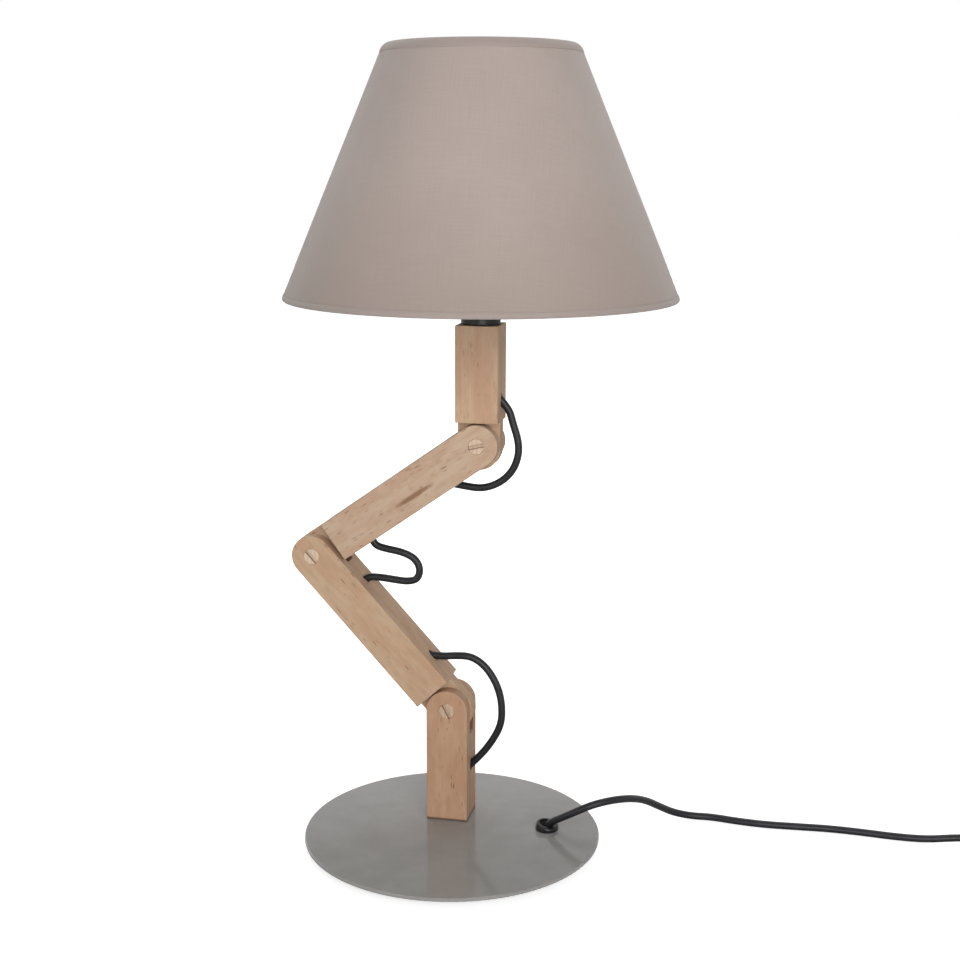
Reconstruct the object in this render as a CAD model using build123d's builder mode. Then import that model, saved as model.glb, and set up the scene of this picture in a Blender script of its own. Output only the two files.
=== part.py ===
"""Jointed beech table lamp with a conical fabric shade, in millimetres.

Frame: the origin is the centre of the base plate at table level. +X runs to the right in the
plane that the arms fold in, +Y away from the front, +Z up. All pivot pins lie along Y.
"""

from build123d import *
import math
import os

os.makedirs("parts", exist_ok=True)

# ---- driving dimensions -------------------------------------------------------------------

# base
plate_diameter = 232.0
plate_thickness = 3.0
plate_edge_radius = 0.8
pad_diameter = 190.0
pad_thickness = 7.0
pad_edge_radius = 1.0

# beech members
stock = 33.0  # square section of every member
arris = 0.7  # eased long edges
slot_width = 13.0  # fork slot, across the grain
slot_floor = 22.0  # from a fork's pivot down to the floor of its slot
arm_pitch = 162.5  # pivot to pivot, both arms
base_pivot_height = 92.3  # above the foot of the base post
top_post_length = 91.6  # pivot to the top end
lower_arm_shoulder = 17.4  # pivot to the square shoulder
upper_arm_shoulder = 21.5
top_post_shoulder = 18.0
tongue_overhang = 3.5  # from a pivot to the centre of its tongue's round end

# pose at rest, measured from +X
lower_arm_angle = 132.3
upper_arm_angle = 35.3
upright_angle = 90.0
base_post_x = -8.0
post_y = 32.0

# pivot hardware
washer_thickness = 0.5
washer_radius = 11.0
washer_gap = 0.05  # on each side of a washer
shank_radius = 4.0
shank_clearance = 0.05  # in the fork
running_clearance = 0.06  # in the tongue
head_radius = 6.2
head_depth = 4.0
head_clearance = 0.1
head_stand = 0.4  # how far a head stands proud
head_slot_width = 3.0
head_slot_depth = 1.6
head_edge_radius = 0.6
screw_end_radius = 2.5
screw_end_length = 7.5
screw_end_clearance = 0.1
screw_end_chamfer = 0.6

# lead and its holes in the wood
lead_radius = 2.9
bore_radius = 4.5  # along each member
side_hole_radius = 4.0  # drilled at 45 degrees into the bore
side_hole_angle = 45.0
bore_overrun = 4.0
mouth_relief = 0.7  # clearance where the lead turns at a mouth
elbow_mouth_points = 5  # points of the elbow loop from its end to clear of its mouth
lead_bend = 12.0  # arc of the lead where a side hole meets the bore
foot_bend = 10.0
gland_bend = 8.0
gland_exit_run = 4.6
exit_run = 7.0  # a loop leaves its hole straight for this far past the mouth
seat_depth = 4.0  # where a loop meets the lead inside a mouth
elbow_seat_depth = 9.0
elbow_turn_depth = 4.3
base_post_hole = 43.2  # mouth centres, measured from each member's lower end or pivot
lower_arm_low_hole = 39.6
lower_arm_high_hole = 123.7
upper_arm_low_hole = 42.0
upper_arm_high_hole = 128.0
top_post_hole = 33.6

# foot screws
foot_screw_offset = 12.0
foot_screw_radius = 1.75
foot_screw_length = 24.0
foot_screw_head_radius = 3.8
foot_screw_point = 4.0
foot_screw_clearance = 0.15  # in the plate
foot_screw_thread_clearance = 0.05  # in the wood
foot_screw_slot_length = 4.4
foot_screw_slot_width = 1.0
foot_screw_slot_depth = 1.2
plate_lead_hole_radius = 6.6

# cable grommet in the plate
grommet_x = 73.0
grommet_y = 17.2
grommet_radius = 9.0
grommet_waist = 7.0
grommet_flange = 1.8
grommet_height = 4.8
grommet_tilt = 10.0
grommet_heading = -29.0
grommet_bore = 3.2
grommet_mouth = 5.6
grommet_edge_radius = 1.6
grommet_clearance = 0.1  # in the plate
grommet_pad_clearance = 1.0
grommet_grip = 0.2  # clearance round the lead
gland_turn_back = 3.0  # where the lead turns up, from the middle of the grommet
gland_turn_side = 1.3
cord_start_back = 0.6  # where the supply cord starts
cord_start_side = 0.2
cord_start_depth = 1.0  # below the plate's face
channel_width = 7.6

# lampholder for an E14 bulb
nipple_radius = 5.0
nipple_bore = 3.3
nipple_sunk = 14.0
nipple_length = 22.0
holder_gap = 0.3
cap_radius = 15.0
cap_height = 16.0
cap_wall = 1.8
cap_floor = 3.0
cap_edge_radius = 1.0
lead_above_cap_floor = 2.0
skirt_radius = 14.0
skirt_wall = 1.5
skirt_collar = 2.0  # seats on the cap
skirt_lip = 1.5
skirt_lip_bore = 8.9
skirt_top = 50.0  # above the post
thread_pitch = 2.0
thread_depth = 0.5
thread_half_width = 0.9
thread_start = 6.0
thread_count = 14
insert_gap = 0.2
insert_drop = 6.0  # the insert hangs this far down into the cap
terminal_length = 6.0
terminal_width = 7.0
terminal_offset = 7.0
terminal_depth = 5.0
socket_radius = 7.9
socket_depth = 22.0
shell_thickness = 0.5
shell_gap = 0.1
shell_rise = 5.0
shell_drop = 1.5
contact_radius = 3.0
contact_thickness = 1.0
lock_ring_radius = 21.5
lock_ring_height = 4.6
lock_ring_flange = 1.6
lock_ring_step = 3.0
lock_ring_grip_count = 24
lock_ring_grip_radius = 0.8
thread_clearance = 0.1

# bulb
bulb_seat_gap = 0.3  # above the centre contact
bulb_cap_radius = 6.9
bulb_tip_radius = 3.0
bulb_tip_height = 1.2
bulb_shoulder_height = 4.0
bulb_rib_count = 4
bulb_rib_pitch = 2.6
bulb_rib_depth = 0.6
bulb_neck_step = 2.2  # the glass is this much wider than its cap
bulb_rise = 0.8  # glass above the skirt
bulb_gap = 0.1
bulb_radius = 22.5
bulb_length = 78.0
bulb_wall = 1.0

# shade
shade_bottom_radius = 150.0
shade_top_radius = 72.2
shade_height = 186.0
shade_gap = 19.0  # from the top post up to the lower edge of the shade
shade_wall = 1.3
binding_thickness = 0.5
binding_gap = 0.05
bottom_binding_height = 6.0
top_binding_height = 7.0
wire_radius = 1.5
wire_gap = 0.1
wire_rise = 0.4  # clear of the fold in the binding
fitter_radius = 25.5
fitter_thickness = 1.2
fitter_rise = 37.0  # above the post
fitter_clearance = 0.4
spoke_overlap = 1.0
spoke_count = 3

# supply cord and what is on it
cord_lift = 0.1  # above the table
switch_length = 62.0
switch_width = 27.0
switch_height = 16.0
switch_drop = 0.5  # the halves meet this far below mid height, level with the cord
switch_wall = 1.8
switch_corner = 8.0
switch_base_edge = 1.2
switch_cover_edge = 2.4
switch_x = 435.0
switch_y = 76.5
cord_hole_clearance = 0.2
cord_in_switch = 8.0
boss_radius = 2.6
boss_x = 20.0
boss_y = 8.6
case_screw_radius = 1.0
case_screw_head = 1.9
case_screw_head_height = 1.5
case_screw_sunk = 0.4
case_screw_bite = 2.0
case_screw_clearance = 0.1
case_screw_slot = 0.6
rocker_radius = 9.3
rocker_width = 10.0
rocker_ridge = 4.6
rocker_skirt = 1.5
rocker_crest = 0.3
rocker_clearance = 0.3
rocker_travel = 16.0
rocker_sunk = 5.6  # pivot below the top of the cover
trunnion_radius = 1.4
lug_thickness = 1.8
lug_length = 6.0
lug_drop = 2.6
contact_gap = 0.05
terminal_block_length = 8.0
terminal_block_width = 4.4
terminal_block_height = 4.6
terminal_block_x = 14.0
terminal_block_y = 2.4
leaf_length = 7.8
leaf_width = 2.4
leaf_thickness = 0.8
coil_x = 468.0
coil_y = 140.0
coil_mean_radius = 32.0
coil_width = 17.8  # three turns side by side
coil_height = 11.8  # two turns high
coil_exit_rise = 5.9
tie_thickness = 0.8
tie_gap = 0.1  # above and below the coil
tie_side_gap = 0.45
tie_corner = 2.8
tie_width = 8.0
tie_angle = 215.0
plug_x = 511.0
plug_y = 209.0
plug_width = 35.0
plug_thickness = 13.5
plug_corner = 5.0
plug_length = 32.0
plug_middle_share = 0.62  # of the length, where the grip has nearly its full width
plug_middle_width = 30.0
plug_middle_thickness = 12.6
plug_middle_corner = 4.5
plug_rear_width = 15.0
plug_rear_thickness = 11.0
plug_rear_corner = 4.0
plug_sleeve_length = 25.0
plug_sleeve_grip = 8.0  # the cord ends this deep in the sleeve
plug_sleeve_thin_wall = 0.9
plug_sleeve_thick_wall = 2.0
plug_sleeve_clearance = 0.25
plug_pin_radius = 2.0
plug_pin_root_radius = 1.8  # the sleeved half of each pin, next to the body
plug_pin_root_length = 10.0
plug_pin_length = 19.0
plug_pin_seat = 8.0
plug_pin_spacing = 18.6
plug_pin_clearance = 0.05
plug_pin_edge = 0.9
plug_gap = 0.1

# ---- places worked out from the sizes -----------------------------------------------------

half = stock / 2
plate_bottom = pad_thickness
plate_top = plate_bottom + plate_thickness
tongue_thickness = slot_width - 2 * (washer_thickness + 2 * washer_gap)
lead_level = pad_thickness / 2


def along(angle):
    return Vector(math.cos(math.radians(angle)), 0, math.sin(math.radians(angle)))


foot = Vector(base_post_x, post_y, plate_top)
base_pivot = foot + along(upright_angle) * base_pivot_height
elbow_pivot = base_pivot + along(lower_arm_angle) * arm_pitch
neck_pivot = elbow_pivot + along(upper_arm_angle) * arm_pitch
post_top = neck_pivot + along(upright_angle) * top_post_length


def member_plane(origin, angle):
    """Side view of a member: x along it, y to its left, z towards the front."""
    return Plane(origin=origin, x_dir=along(angle), z_dir=(0, -1, 0))


post_plane = member_plane(foot, upright_angle)
lower_plane = member_plane(base_pivot, lower_arm_angle)
upper_plane = member_plane(elbow_pivot, upper_arm_angle)
top_plane = member_plane(neck_pivot, upright_angle)


def write(builder, name):
    builder.part.label = name
    export_step(builder.part, f"parts/{name}.step")


# ---- shared operations on the member being built ------------------------------------------


def add_stock(plane, start, end, rounded):
    """Square stock from start to end, with a round end about the pivot for a fork."""
    with BuildSketch(plane) as outline:
        with Locations(((start + end) / 2, 0)):
            Rectangle(end - start, stock)
        if rounded:
            with Locations((end, 0)):
                Circle(half)
    extrude(outline.sketch, amount=half, both=True)


def add_tongue(plane, shoulder):
    with BuildSketch(plane) as outline:
        with Locations(((shoulder - tongue_overhang) / 2, 0)):
            Rectangle(shoulder + tongue_overhang, stock)
        with Locations((-tongue_overhang, 0)):
            Circle(half)
    extrude(outline.sketch, amount=tongue_thickness / 2, both=True)


def cut_fork(plane, pivot_x):
    """Slot for the next member's tongue, with the shank's hole and the two head recesses."""
    with BuildSketch(plane) as slot:
        with Locations((pivot_x - slot_floor, 0)):
            Rectangle(slot_floor + stock, 2 * stock, align=(Align.MIN, Align.CENTER))
    extrude(slot.sketch, amount=slot_width / 2, both=True, mode=Mode.SUBTRACT)
    cut_pivot_hole(plane, pivot_x, shank_radius + shank_clearance)
    for side in (1, -1):
        recess = plane.offset(side * (half - head_depth))
        with BuildSketch(recess) as head:
            with Locations((pivot_x, 0)):
                Circle(head_radius + head_clearance)
        extrude(head.sketch, amount=side * 2 * head_depth, mode=Mode.SUBTRACT)


def cut_pivot_hole(plane, pivot_x, radius):
    with BuildSketch(plane) as hole:
        with Locations((pivot_x, 0)):
            Circle(radius)
    extrude(hole.sketch, amount=stock, both=True, mode=Mode.SUBTRACT)


def cut_bore(plane, start, end):
    """Lengthwise bore for the lead, between two places along the member."""
    with BuildSketch(Plane(origin=plane.from_local_coords((start, 0, 0)), z_dir=plane.x_dir)) as bore:
        Circle(bore_radius)
    extrude(bore.sketch, amount=end - start, mode=Mode.SUBTRACT)


def hole_direction(sign):
    """Way out of a side hole in the member's own plane: sign +1 leans up the member."""
    lean = math.radians(side_hole_angle)
    return Vector(sign * math.cos(lean), -math.sin(lean), 0)


def hole_junction(mouth, sign):
    """Where a side hole meets the bore."""
    return mouth - sign * half / math.tan(math.radians(side_hole_angle))


def cut_side_hole(plane, mouth, sign):
    start = plane.from_local_coords((hole_junction(mouth, sign), 0, 0))
    way = plane.from_local_coords(hole_direction(sign)) - plane.origin
    with BuildSketch(Plane(origin=start, z_dir=way)) as hole:
        Circle(side_hole_radius)
    extrude(hole.sketch, amount=2 * stock, mode=Mode.SUBTRACT)


def seat(plane, mouth, sign, depth=seat_depth):
    """Place on a side hole's axis, this deep inside its mouth or, if negative, outside it."""
    face = Vector(mouth, -half, 0)
    return plane.from_local_coords(face - hole_direction(sign) * depth)


def turn_radii(points, share=0.45):
    """Arc radius for each corner of a route, as large as its shorter run allows."""
    places = [Vector(*p) for p in points]
    radii = []
    for before, corner, after in zip(places, places[1:], places[2:]):
        turn = (corner - before).get_angle(after - corner)
        shorter = min((corner - before).length, (after - corner).length)
        radii.append(share * shorter / math.tan(math.radians(turn / 2)))
    return radii


def tube(name, points, radii, radius=lead_radius):
    """Round tube along straight runs joined by tangent arcs."""
    places = [Vector(*p) for p in points]
    with BuildPart() as body:
        with BuildLine() as path:
            FilletPolyline(*places, radius=radii)
        with BuildSketch(Plane(origin=places[0], z_dir=places[1] - places[0])):
            Circle(radius)
        sweep(path=path.line)
    length = sum(edge.length for edge in path.edges())
    share = body.part.volume / (math.pi * radius**2 * length)
    rounded = ", ".join(f"{r:.1f}" for r in radii)
    print(f"{name}: {length:.1f} long, volume / (section x length) {share:.4f}, arc radii {rounded}")
    return body


def relief(points, radii, radius):
    """Solid that clears a lead along its route."""
    places = [Vector(*p) for p in points]
    with BuildPart(mode=Mode.PRIVATE) as body:
        with BuildLine() as path:
            FilletPolyline(*places, radius=radii)
        with BuildSketch(Plane(origin=places[0], z_dir=places[1] - places[0])):
            Circle(radius)
        sweep(path=path.line)
    return body.part


# ---- routes of the lead's three loops, in the plane of the arms ----------------------------


def near(pivot, offsets):
    """Points of a loop beside its joint, given as offsets from the pivot along X and Z."""
    return [pivot + Vector(x, 0, z) for x, z in offsets]


base_loop_offsets = [
    (6.5, 42.7), (22.0, 39.7), (33.5, 29.7), (39.8, 16.2), (42.2, 0.7), (41.3, -14.3), (34.2, -28.5),
]
elbow_loop_offsets = [
    (42.2, -18.1), (51.9, -18.0), (62.9, -19.2), (73.9, -20.2), (82.2, -17.9), (84.5, -9.2),
    (80.2, -0.9), (70.4, 3.6), (57.9, 5.5), (47.8, 7.7),
]
neck_loop_offsets = [(2.2, -35.8), (15.7, -30.6), (25.9, -20.6), (30.6, -6.9), (30.2, 7.6)]

base_loop_route = [
    seat(lower_plane, lower_arm_low_hole, -1),
    seat(lower_plane, lower_arm_low_hole, -1, -exit_run),
    *near(base_pivot, base_loop_offsets),
    seat(post_plane, base_post_hole, 1, -2 * exit_run),
    seat(post_plane, base_post_hole, 1),
]
elbow_loop_route = [
    seat(lower_plane, lower_arm_high_hole, 1, elbow_seat_depth),
    seat(lower_plane, lower_arm_high_hole, 1, elbow_turn_depth),
    *near(elbow_pivot, elbow_loop_offsets),
    seat(upper_plane, upper_arm_low_hole, -1, elbow_turn_depth),
    seat(upper_plane, upper_arm_low_hole, -1, elbow_seat_depth),
]
neck_loop_route = [
    seat(upper_plane, upper_arm_high_hole, 1),
    seat(upper_plane, upper_arm_high_hole, 1, -exit_run),
    *near(neck_pivot, neck_loop_offsets),
    seat(top_plane, top_post_hole, -1, -2 * exit_run),
    seat(top_plane, top_post_hole, -1),
]

# ---- route of the supply cord from the grommet to the switch --------------------------------

cord_level = lead_radius + cord_lift
switch_level = switch_height / 2 - switch_drop
switch_start = switch_x - switch_length / 2
switch_end = switch_x + switch_length / 2
gland_start = Vector(base_post_x, post_y, lead_level)
gland_turn = Vector(grommet_x - gland_turn_back, grommet_y + gland_turn_side, lead_level)
cord_start = Vector(grommet_x - cord_start_back, grommet_y + cord_start_side, plate_top - cord_start_depth)
cord_above_gland = cord_start + (cord_start - gland_turn).normalized() * gland_exit_run

supply_route = [
    cord_start,
    cord_above_gland,
    (77.4, 14.6, 17.6),
    (84.5, 10.9, 22.6),
    (96.5, 7.4, 30.4),
    (109.0, 8.6, 36.8),
    (121.0, 14.4, 39.0),
    (131.5, 24.5, 37.6),
    (140.5, 37.0, 33.4),
    (148.5, 50.5, 26.6),
    (157.5, 63.0, 17.2),
    (168.5, 74.0, 8.0),
    (182.5, 81.5, cord_level),
    (199.0, 83.0, cord_level),
    (218.0, 79.4, cord_level),
    (241.0, 77.4, cord_level),
    (266.0, 78.8, cord_level),
    (292.0, 80.6, cord_level),
    (318.0, 79.4, cord_level),
    (344.0, 76.6, cord_level),
    (368.0, 75.6, 3.6),
    (389.0, 76.2, 6.6),
    (400.0, 76.5, switch_level),
    (switch_start + cord_in_switch, switch_y, switch_level - 0.1),
]

# ---- base ---------------------------------------------------------------------------------

grommet_place = (grommet_x, grommet_y)
channel_line = Vector(grommet_x - base_post_x, grommet_y - post_y)
channel_angle = math.degrees(math.atan2(channel_line.Y, channel_line.X))

with BuildPart() as base_pad:
    with BuildSketch():
        Circle(pad_diameter / 2)
    extrude(amount=pad_thickness)
    fillet(base_pad.faces().sort_by(Axis.Z)[0].edges(), pad_edge_radius)
    with BuildSketch() as channel:
        middle = ((grommet_x + base_post_x) / 2, (grommet_y + post_y) / 2)
        with Locations(Location(middle, channel_angle)):
            Rectangle(channel_line.length, channel_width)
        with Locations((base_post_x, post_y)):
            Circle(plate_lead_hole_radius)
        with Locations(grommet_place):
            Circle(grommet_radius + grommet_pad_clearance)
    extrude(amount=pad_thickness, mode=Mode.SUBTRACT)
write(base_pad, "base_pad")

foot_screw_places = [(base_post_x, post_y + side * foot_screw_offset) for side in (-1, 1)]

with BuildPart() as base_plate:
    with BuildSketch(Plane.XY.offset(plate_bottom)):
        Circle(plate_diameter / 2)
    extrude(amount=plate_thickness)
    fillet(base_plate.edges(), plate_edge_radius)
    with BuildSketch(Plane.XY.offset(plate_bottom)):
        with Locations((base_post_x, post_y)):
            Circle(plate_lead_hole_radius)
        with Locations(grommet_place):
            Circle(grommet_waist + grommet_clearance)
    extrude(amount=plate_thickness, mode=Mode.SUBTRACT)
    for x, y in foot_screw_places:
        with Locations(Plane(origin=(x, y, plate_bottom), x_dir=(1, 0, 0), z_dir=(0, 0, -1))):
            CounterSinkHole(
                foot_screw_radius + foot_screw_clearance,
                foot_screw_head_radius + foot_screw_clearance,
                depth=2 * plate_thickness,
                counter_sink_angle=90,
            )
write(base_plate, "base_plate")

with BuildPart() as cable_grommet:
    tilt = math.radians(grommet_tilt)
    heading = math.radians(grommet_heading)
    lean = (math.sin(tilt) * math.cos(heading), math.sin(tilt) * math.sin(heading), math.cos(tilt))
    lean_plane = Plane(origin=(grommet_x, grommet_y, plate_top), z_dir=lean)
    with BuildSketch(lean_plane.offset(-grommet_flange)):
        Circle(grommet_radius)
    extrude(amount=grommet_height + grommet_flange)
    fillet(cable_grommet.faces().sort_by(Axis.Z)[-1].edges(), grommet_edge_radius)
    with BuildSketch(Plane.XY.offset(plate_top)):
        with Locations(grommet_place):
            Circle(2 * grommet_radius)
    extrude(amount=-2 * grommet_height, mode=Mode.SUBTRACT)
    with BuildSketch(Plane.XY.offset(plate_top)):
        with Locations(grommet_place):
            Circle(grommet_waist)
    extrude(amount=-plate_thickness)
    with BuildSketch(Plane.XY.offset(plate_bottom)):
        with Locations(grommet_place):
            Circle(grommet_radius)
    extrude(amount=-grommet_flange)
    with BuildSketch(Plane(origin=(grommet_x, grommet_y, 0), x_dir=(1, 0, 0), z_dir=(0, -1, 0))) as throat:
        with BuildLine():
            Polyline(
                (0, 0),
                (grommet_mouth, 0),
                (grommet_mouth, plate_bottom - grommet_flange),
                (grommet_bore, plate_top - plate_thickness / 2),
                (grommet_mouth, plate_top + grommet_height - 1),
                (grommet_mouth, plate_top + 3 * grommet_height),
                (0, plate_top + 3 * grommet_height),
                close=True,
            )
        make_face()
    revolve(axis=Axis((grommet_x, grommet_y, 0), (0, 0, 1)), mode=Mode.SUBTRACT)
    gland_route = [gland_start, gland_turn, *supply_route[1:4]]
    gland_radii = [gland_bend, *turn_radii(supply_route)[:2]]
    add(relief(gland_route, gland_radii, lead_radius + grommet_grip), mode=Mode.SUBTRACT)
write(cable_grommet, "cable_grommet")

with BuildPart() as base_post_screws:
    for x, y in foot_screw_places:
        head_drop = foot_screw_head_radius - foot_screw_radius
        with BuildSketch(Plane(origin=(x, y, plate_bottom), x_dir=(1, 0, 0), z_dir=(0, -1, 0))):
            with BuildLine():
                Polyline(
                    (0, 0),
                    (foot_screw_head_radius, 0),
                    (foot_screw_radius, head_drop),
                    (foot_screw_radius, foot_screw_length - foot_screw_point),
                    (0, foot_screw_length),
                    close=True,
                )
            make_face()
        revolve(axis=Axis((x, y, 0), (0, 0, 1)))
        with BuildSketch(Plane.XY.offset(plate_bottom)):
            with Locations((x, y)):
                Rectangle(foot_screw_slot_length, foot_screw_slot_width)
                Rectangle(foot_screw_slot_width, foot_screw_slot_length)
        extrude(amount=foot_screw_slot_depth, mode=Mode.SUBTRACT)
write(base_post_screws, "base_post_screws")

with BuildPart() as base_post:
    add_stock(post_plane, 0, base_pivot_height, rounded=True)
    fillet(base_post.faces().filter_by(Axis.Y).edges(), arris)
    cut_fork(post_plane, base_pivot_height)
    cut_bore(post_plane, -1, hole_junction(base_post_hole, 1) + bore_overrun)
    cut_side_hole(post_plane, base_post_hole, 1)
    with BuildSketch(Plane.XY.offset(plate_top)):
        with Locations(*foot_screw_places):
            Circle(foot_screw_radius + foot_screw_thread_clearance)
    extrude(amount=foot_screw_length, mode=Mode.SUBTRACT)
write(base_post, "base_post")

# ---- arms and top post --------------------------------------------------------------------

with BuildPart() as lower_arm:
    add_stock(lower_plane, lower_arm_shoulder, arm_pitch, rounded=True)
    fillet(lower_arm.faces().filter_by(Axis.Y).edges(), arris)
    add_tongue(lower_plane, lower_arm_shoulder)
    cut_fork(lower_plane, arm_pitch)
    cut_pivot_hole(lower_plane, 0, shank_radius + running_clearance)
    cut_bore(lower_plane, hole_junction(lower_arm_low_hole, -1) - bore_overrun, arm_pitch - slot_floor + 1)
    cut_side_hole(lower_plane, lower_arm_low_hole, -1)
    cut_side_hole(lower_plane, lower_arm_high_hole, 1)
    mouth_route = elbow_loop_route[:elbow_mouth_points]
    add(relief(mouth_route, turn_radii(mouth_route), lead_radius + mouth_relief), mode=Mode.SUBTRACT)
write(lower_arm, "lower_arm")

with BuildPart() as upper_arm:
    add_stock(upper_plane, upper_arm_shoulder, arm_pitch, rounded=True)
    fillet(upper_arm.faces().filter_by(Axis.Y).edges(), arris)
    add_tongue(upper_plane, upper_arm_shoulder)
    cut_fork(upper_plane, arm_pitch)
    cut_pivot_hole(upper_plane, 0, shank_radius + running_clearance)
    cut_bore(upper_plane, hole_junction(upper_arm_low_hole, -1) - bore_overrun, arm_pitch - slot_floor + 1)
    cut_side_hole(upper_plane, upper_arm_low_hole, -1)
    cut_side_hole(upper_plane, upper_arm_high_hole, 1)
    mouth_route = elbow_loop_route[-elbow_mouth_points:]
    add(relief(mouth_route, turn_radii(mouth_route), lead_radius + mouth_relief), mode=Mode.SUBTRACT)
write(upper_arm, "upper_arm")

with BuildPart() as top_post:
    add_stock(top_plane, top_post_shoulder, top_post_length, rounded=False)
    fillet(top_post.edges().filter_by(Axis.Z), arris)
    add_tongue(top_plane, top_post_shoulder)
    cut_pivot_hole(top_plane, 0, shank_radius + running_clearance)
    cut_bore(top_plane, hole_junction(top_post_hole, -1) - bore_overrun, top_post_length + 1)
    cut_side_hole(top_plane, top_post_hole, -1)
    with BuildSketch(Plane.XY.offset(post_top.Z - nipple_sunk)):
        with Locations((post_top.X, post_y)):
            Circle(nipple_radius + thread_clearance)
    extrude(amount=2 * nipple_sunk, mode=Mode.SUBTRACT)
write(top_post, "top_post")

# ---- pivot hardware -----------------------------------------------------------------------


def cut_head_slot(plane, depth, angle):
    """Coin slot across a head whose face lies at depth in the plane's direction."""
    side = 1 if depth > 0 else -1
    with BuildSketch(plane.offset(depth - side * head_slot_depth)) as slot:
        with Locations(Location((0, 0), angle)):
            Rectangle(3 * head_radius, head_slot_width)
    extrude(slot.sketch, amount=side * 2 * head_slot_depth, mode=Mode.SUBTRACT)


pivot_sets = [
    ("base_pivot", base_pivot, 118.0),
    ("elbow", elbow_pivot, 132.0),
    ("neck", neck_pivot, 14.0),
]

for pivot_name, pivot, slot_angle in pivot_sets:
    pin_plane = Plane(origin=pivot, x_dir=(1, 0, 0), z_dir=(0, -1, 0))
    face = half + head_stand
    shank_end = -slot_width / 2

    with BuildPart() as pivot_bolt:
        with BuildSketch(pin_plane.offset(half - head_depth)):
            Circle(head_radius)
        extrude(amount=head_depth + head_stand)
        fillet(pivot_bolt.faces().sort_by(Axis.Y)[0].edges(), head_edge_radius)
        with BuildSketch(pin_plane.offset(half - head_depth)):
            Circle(shank_radius)
        extrude(amount=shank_end - (half - head_depth))
        with BuildSketch(pin_plane.offset(shank_end)):
            Circle(screw_end_radius)
        extrude(amount=-screw_end_length)
        chamfer(pivot_bolt.faces().sort_by(Axis.Y)[-1].edges(), screw_end_chamfer)
        cut_head_slot(pin_plane, face, slot_angle)
    write(pivot_bolt, f"{pivot_name}_bolt")

    with BuildPart() as pivot_nut:
        with BuildSketch(pin_plane.offset(head_depth - half)):
            Circle(head_radius)
        extrude(amount=-(head_depth + head_stand))
        fillet(pivot_nut.faces().sort_by(Axis.Y)[-1].edges(), head_edge_radius)
        with BuildSketch(pin_plane.offset(head_depth - half)):
            Circle(shank_radius)
        extrude(amount=shank_end - washer_gap - (head_depth - half))
        with BuildSketch(pin_plane.offset(shank_end)):
            Circle(screw_end_radius + screw_end_clearance)
        extrude(amount=-(screw_end_length + 0.5), mode=Mode.SUBTRACT)
        cut_head_slot(pin_plane, -face, slot_angle)
    write(pivot_nut, f"{pivot_name}_nut")

    with BuildPart() as pivot_washers:
        for side in (1, -1):
            with BuildSketch(pin_plane.offset(side * (tongue_thickness / 2 + washer_gap))):
                Circle(washer_radius)
                Circle(shank_radius + running_clearance, mode=Mode.SUBTRACT)
            extrude(amount=side * washer_thickness)
    write(pivot_washers, f"{pivot_name}_washers")

# ---- lead inside the members --------------------------------------------------------------


def level_point(plane, x):
    return plane.from_local_coords((x, 0, 0))


lead_in_base = tube(
    "lead_in_base",
    [
        seat(post_plane, base_post_hole, 1),
        level_point(post_plane, hole_junction(base_post_hole, 1)),
        gland_start,
        gland_turn,
        cord_start,
    ],
    [lead_bend, foot_bend, gland_bend],
)
write(lead_in_base, "lead_in_base")

lead_in_lower_arm = tube(
    "lead_in_lower_arm",
    [
        seat(lower_plane, lower_arm_low_hole, -1),
        level_point(lower_plane, hole_junction(lower_arm_low_hole, -1)),
        level_point(lower_plane, hole_junction(lower_arm_high_hole, 1)),
        seat(lower_plane, lower_arm_high_hole, 1, elbow_seat_depth),
    ],
    [lead_bend, lead_bend],
)
write(lead_in_lower_arm, "lead_in_lower_arm")

lead_in_upper_arm = tube(
    "lead_in_upper_arm",
    [
        seat(upper_plane, upper_arm_low_hole, -1, elbow_seat_depth),
        level_point(upper_plane, hole_junction(upper_arm_low_hole, -1)),
        level_point(upper_plane, hole_junction(upper_arm_high_hole, 1)),
        seat(upper_plane, upper_arm_high_hole, 1),
    ],
    [lead_bend, lead_bend],
)
write(lead_in_upper_arm, "lead_in_upper_arm")

lead_end = post_top + Vector(0, 0, cap_floor + lead_above_cap_floor)
lead_in_top_post = tube(
    "lead_in_top_post",
    [
        seat(top_plane, top_post_hole, -1),
        level_point(top_plane, hole_junction(top_post_hole, -1)),
        lead_end,
    ],
    [lead_bend],
)
write(lead_in_top_post, "lead_in_top_post")

lead_loop_base = tube("lead_loop_base", base_loop_route, turn_radii(base_loop_route))
write(lead_loop_base, "lead_loop_base")
lead_loop_elbow = tube("lead_loop_elbow", elbow_loop_route, turn_radii(elbow_loop_route))
write(lead_loop_elbow, "lead_loop_elbow")
lead_loop_neck = tube("lead_loop_neck", neck_loop_route, turn_radii(neck_loop_route))
write(lead_loop_neck, "lead_loop_neck")

# ---- lampholder ---------------------------------------------------------------------------

holder_axis = Axis((post_top.X, post_y, 0), (0, 0, 1))
holder_plane = Plane(origin=(post_top.X, post_y, post_top.Z), x_dir=(1, 0, 0), z_dir=(0, -1, 0))


def turned(profile, mode=Mode.ADD):
    """Turn a closed outline of (radius, height above the top post) about the holder's axis."""
    with BuildSketch(holder_plane) as section:
        with BuildLine():
            Polyline(*profile, close=True)
        make_face()
    revolve(section.sketch, axis=holder_axis, mode=mode)


def rectangle_of(inner, outer, low, high):
    return [(inner, low), (outer, low), (outer, high), (inner, high)]


def cut_groove(radius, depth, height):
    """Shallow V groove round a turned piece."""
    mouth = thread_half_width * (1 + depth) / depth
    tip = radius - depth
    turned([(tip, height), (radius + 1, height - mouth), (radius + 1, height + mouth)], mode=Mode.SUBTRACT)


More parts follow.
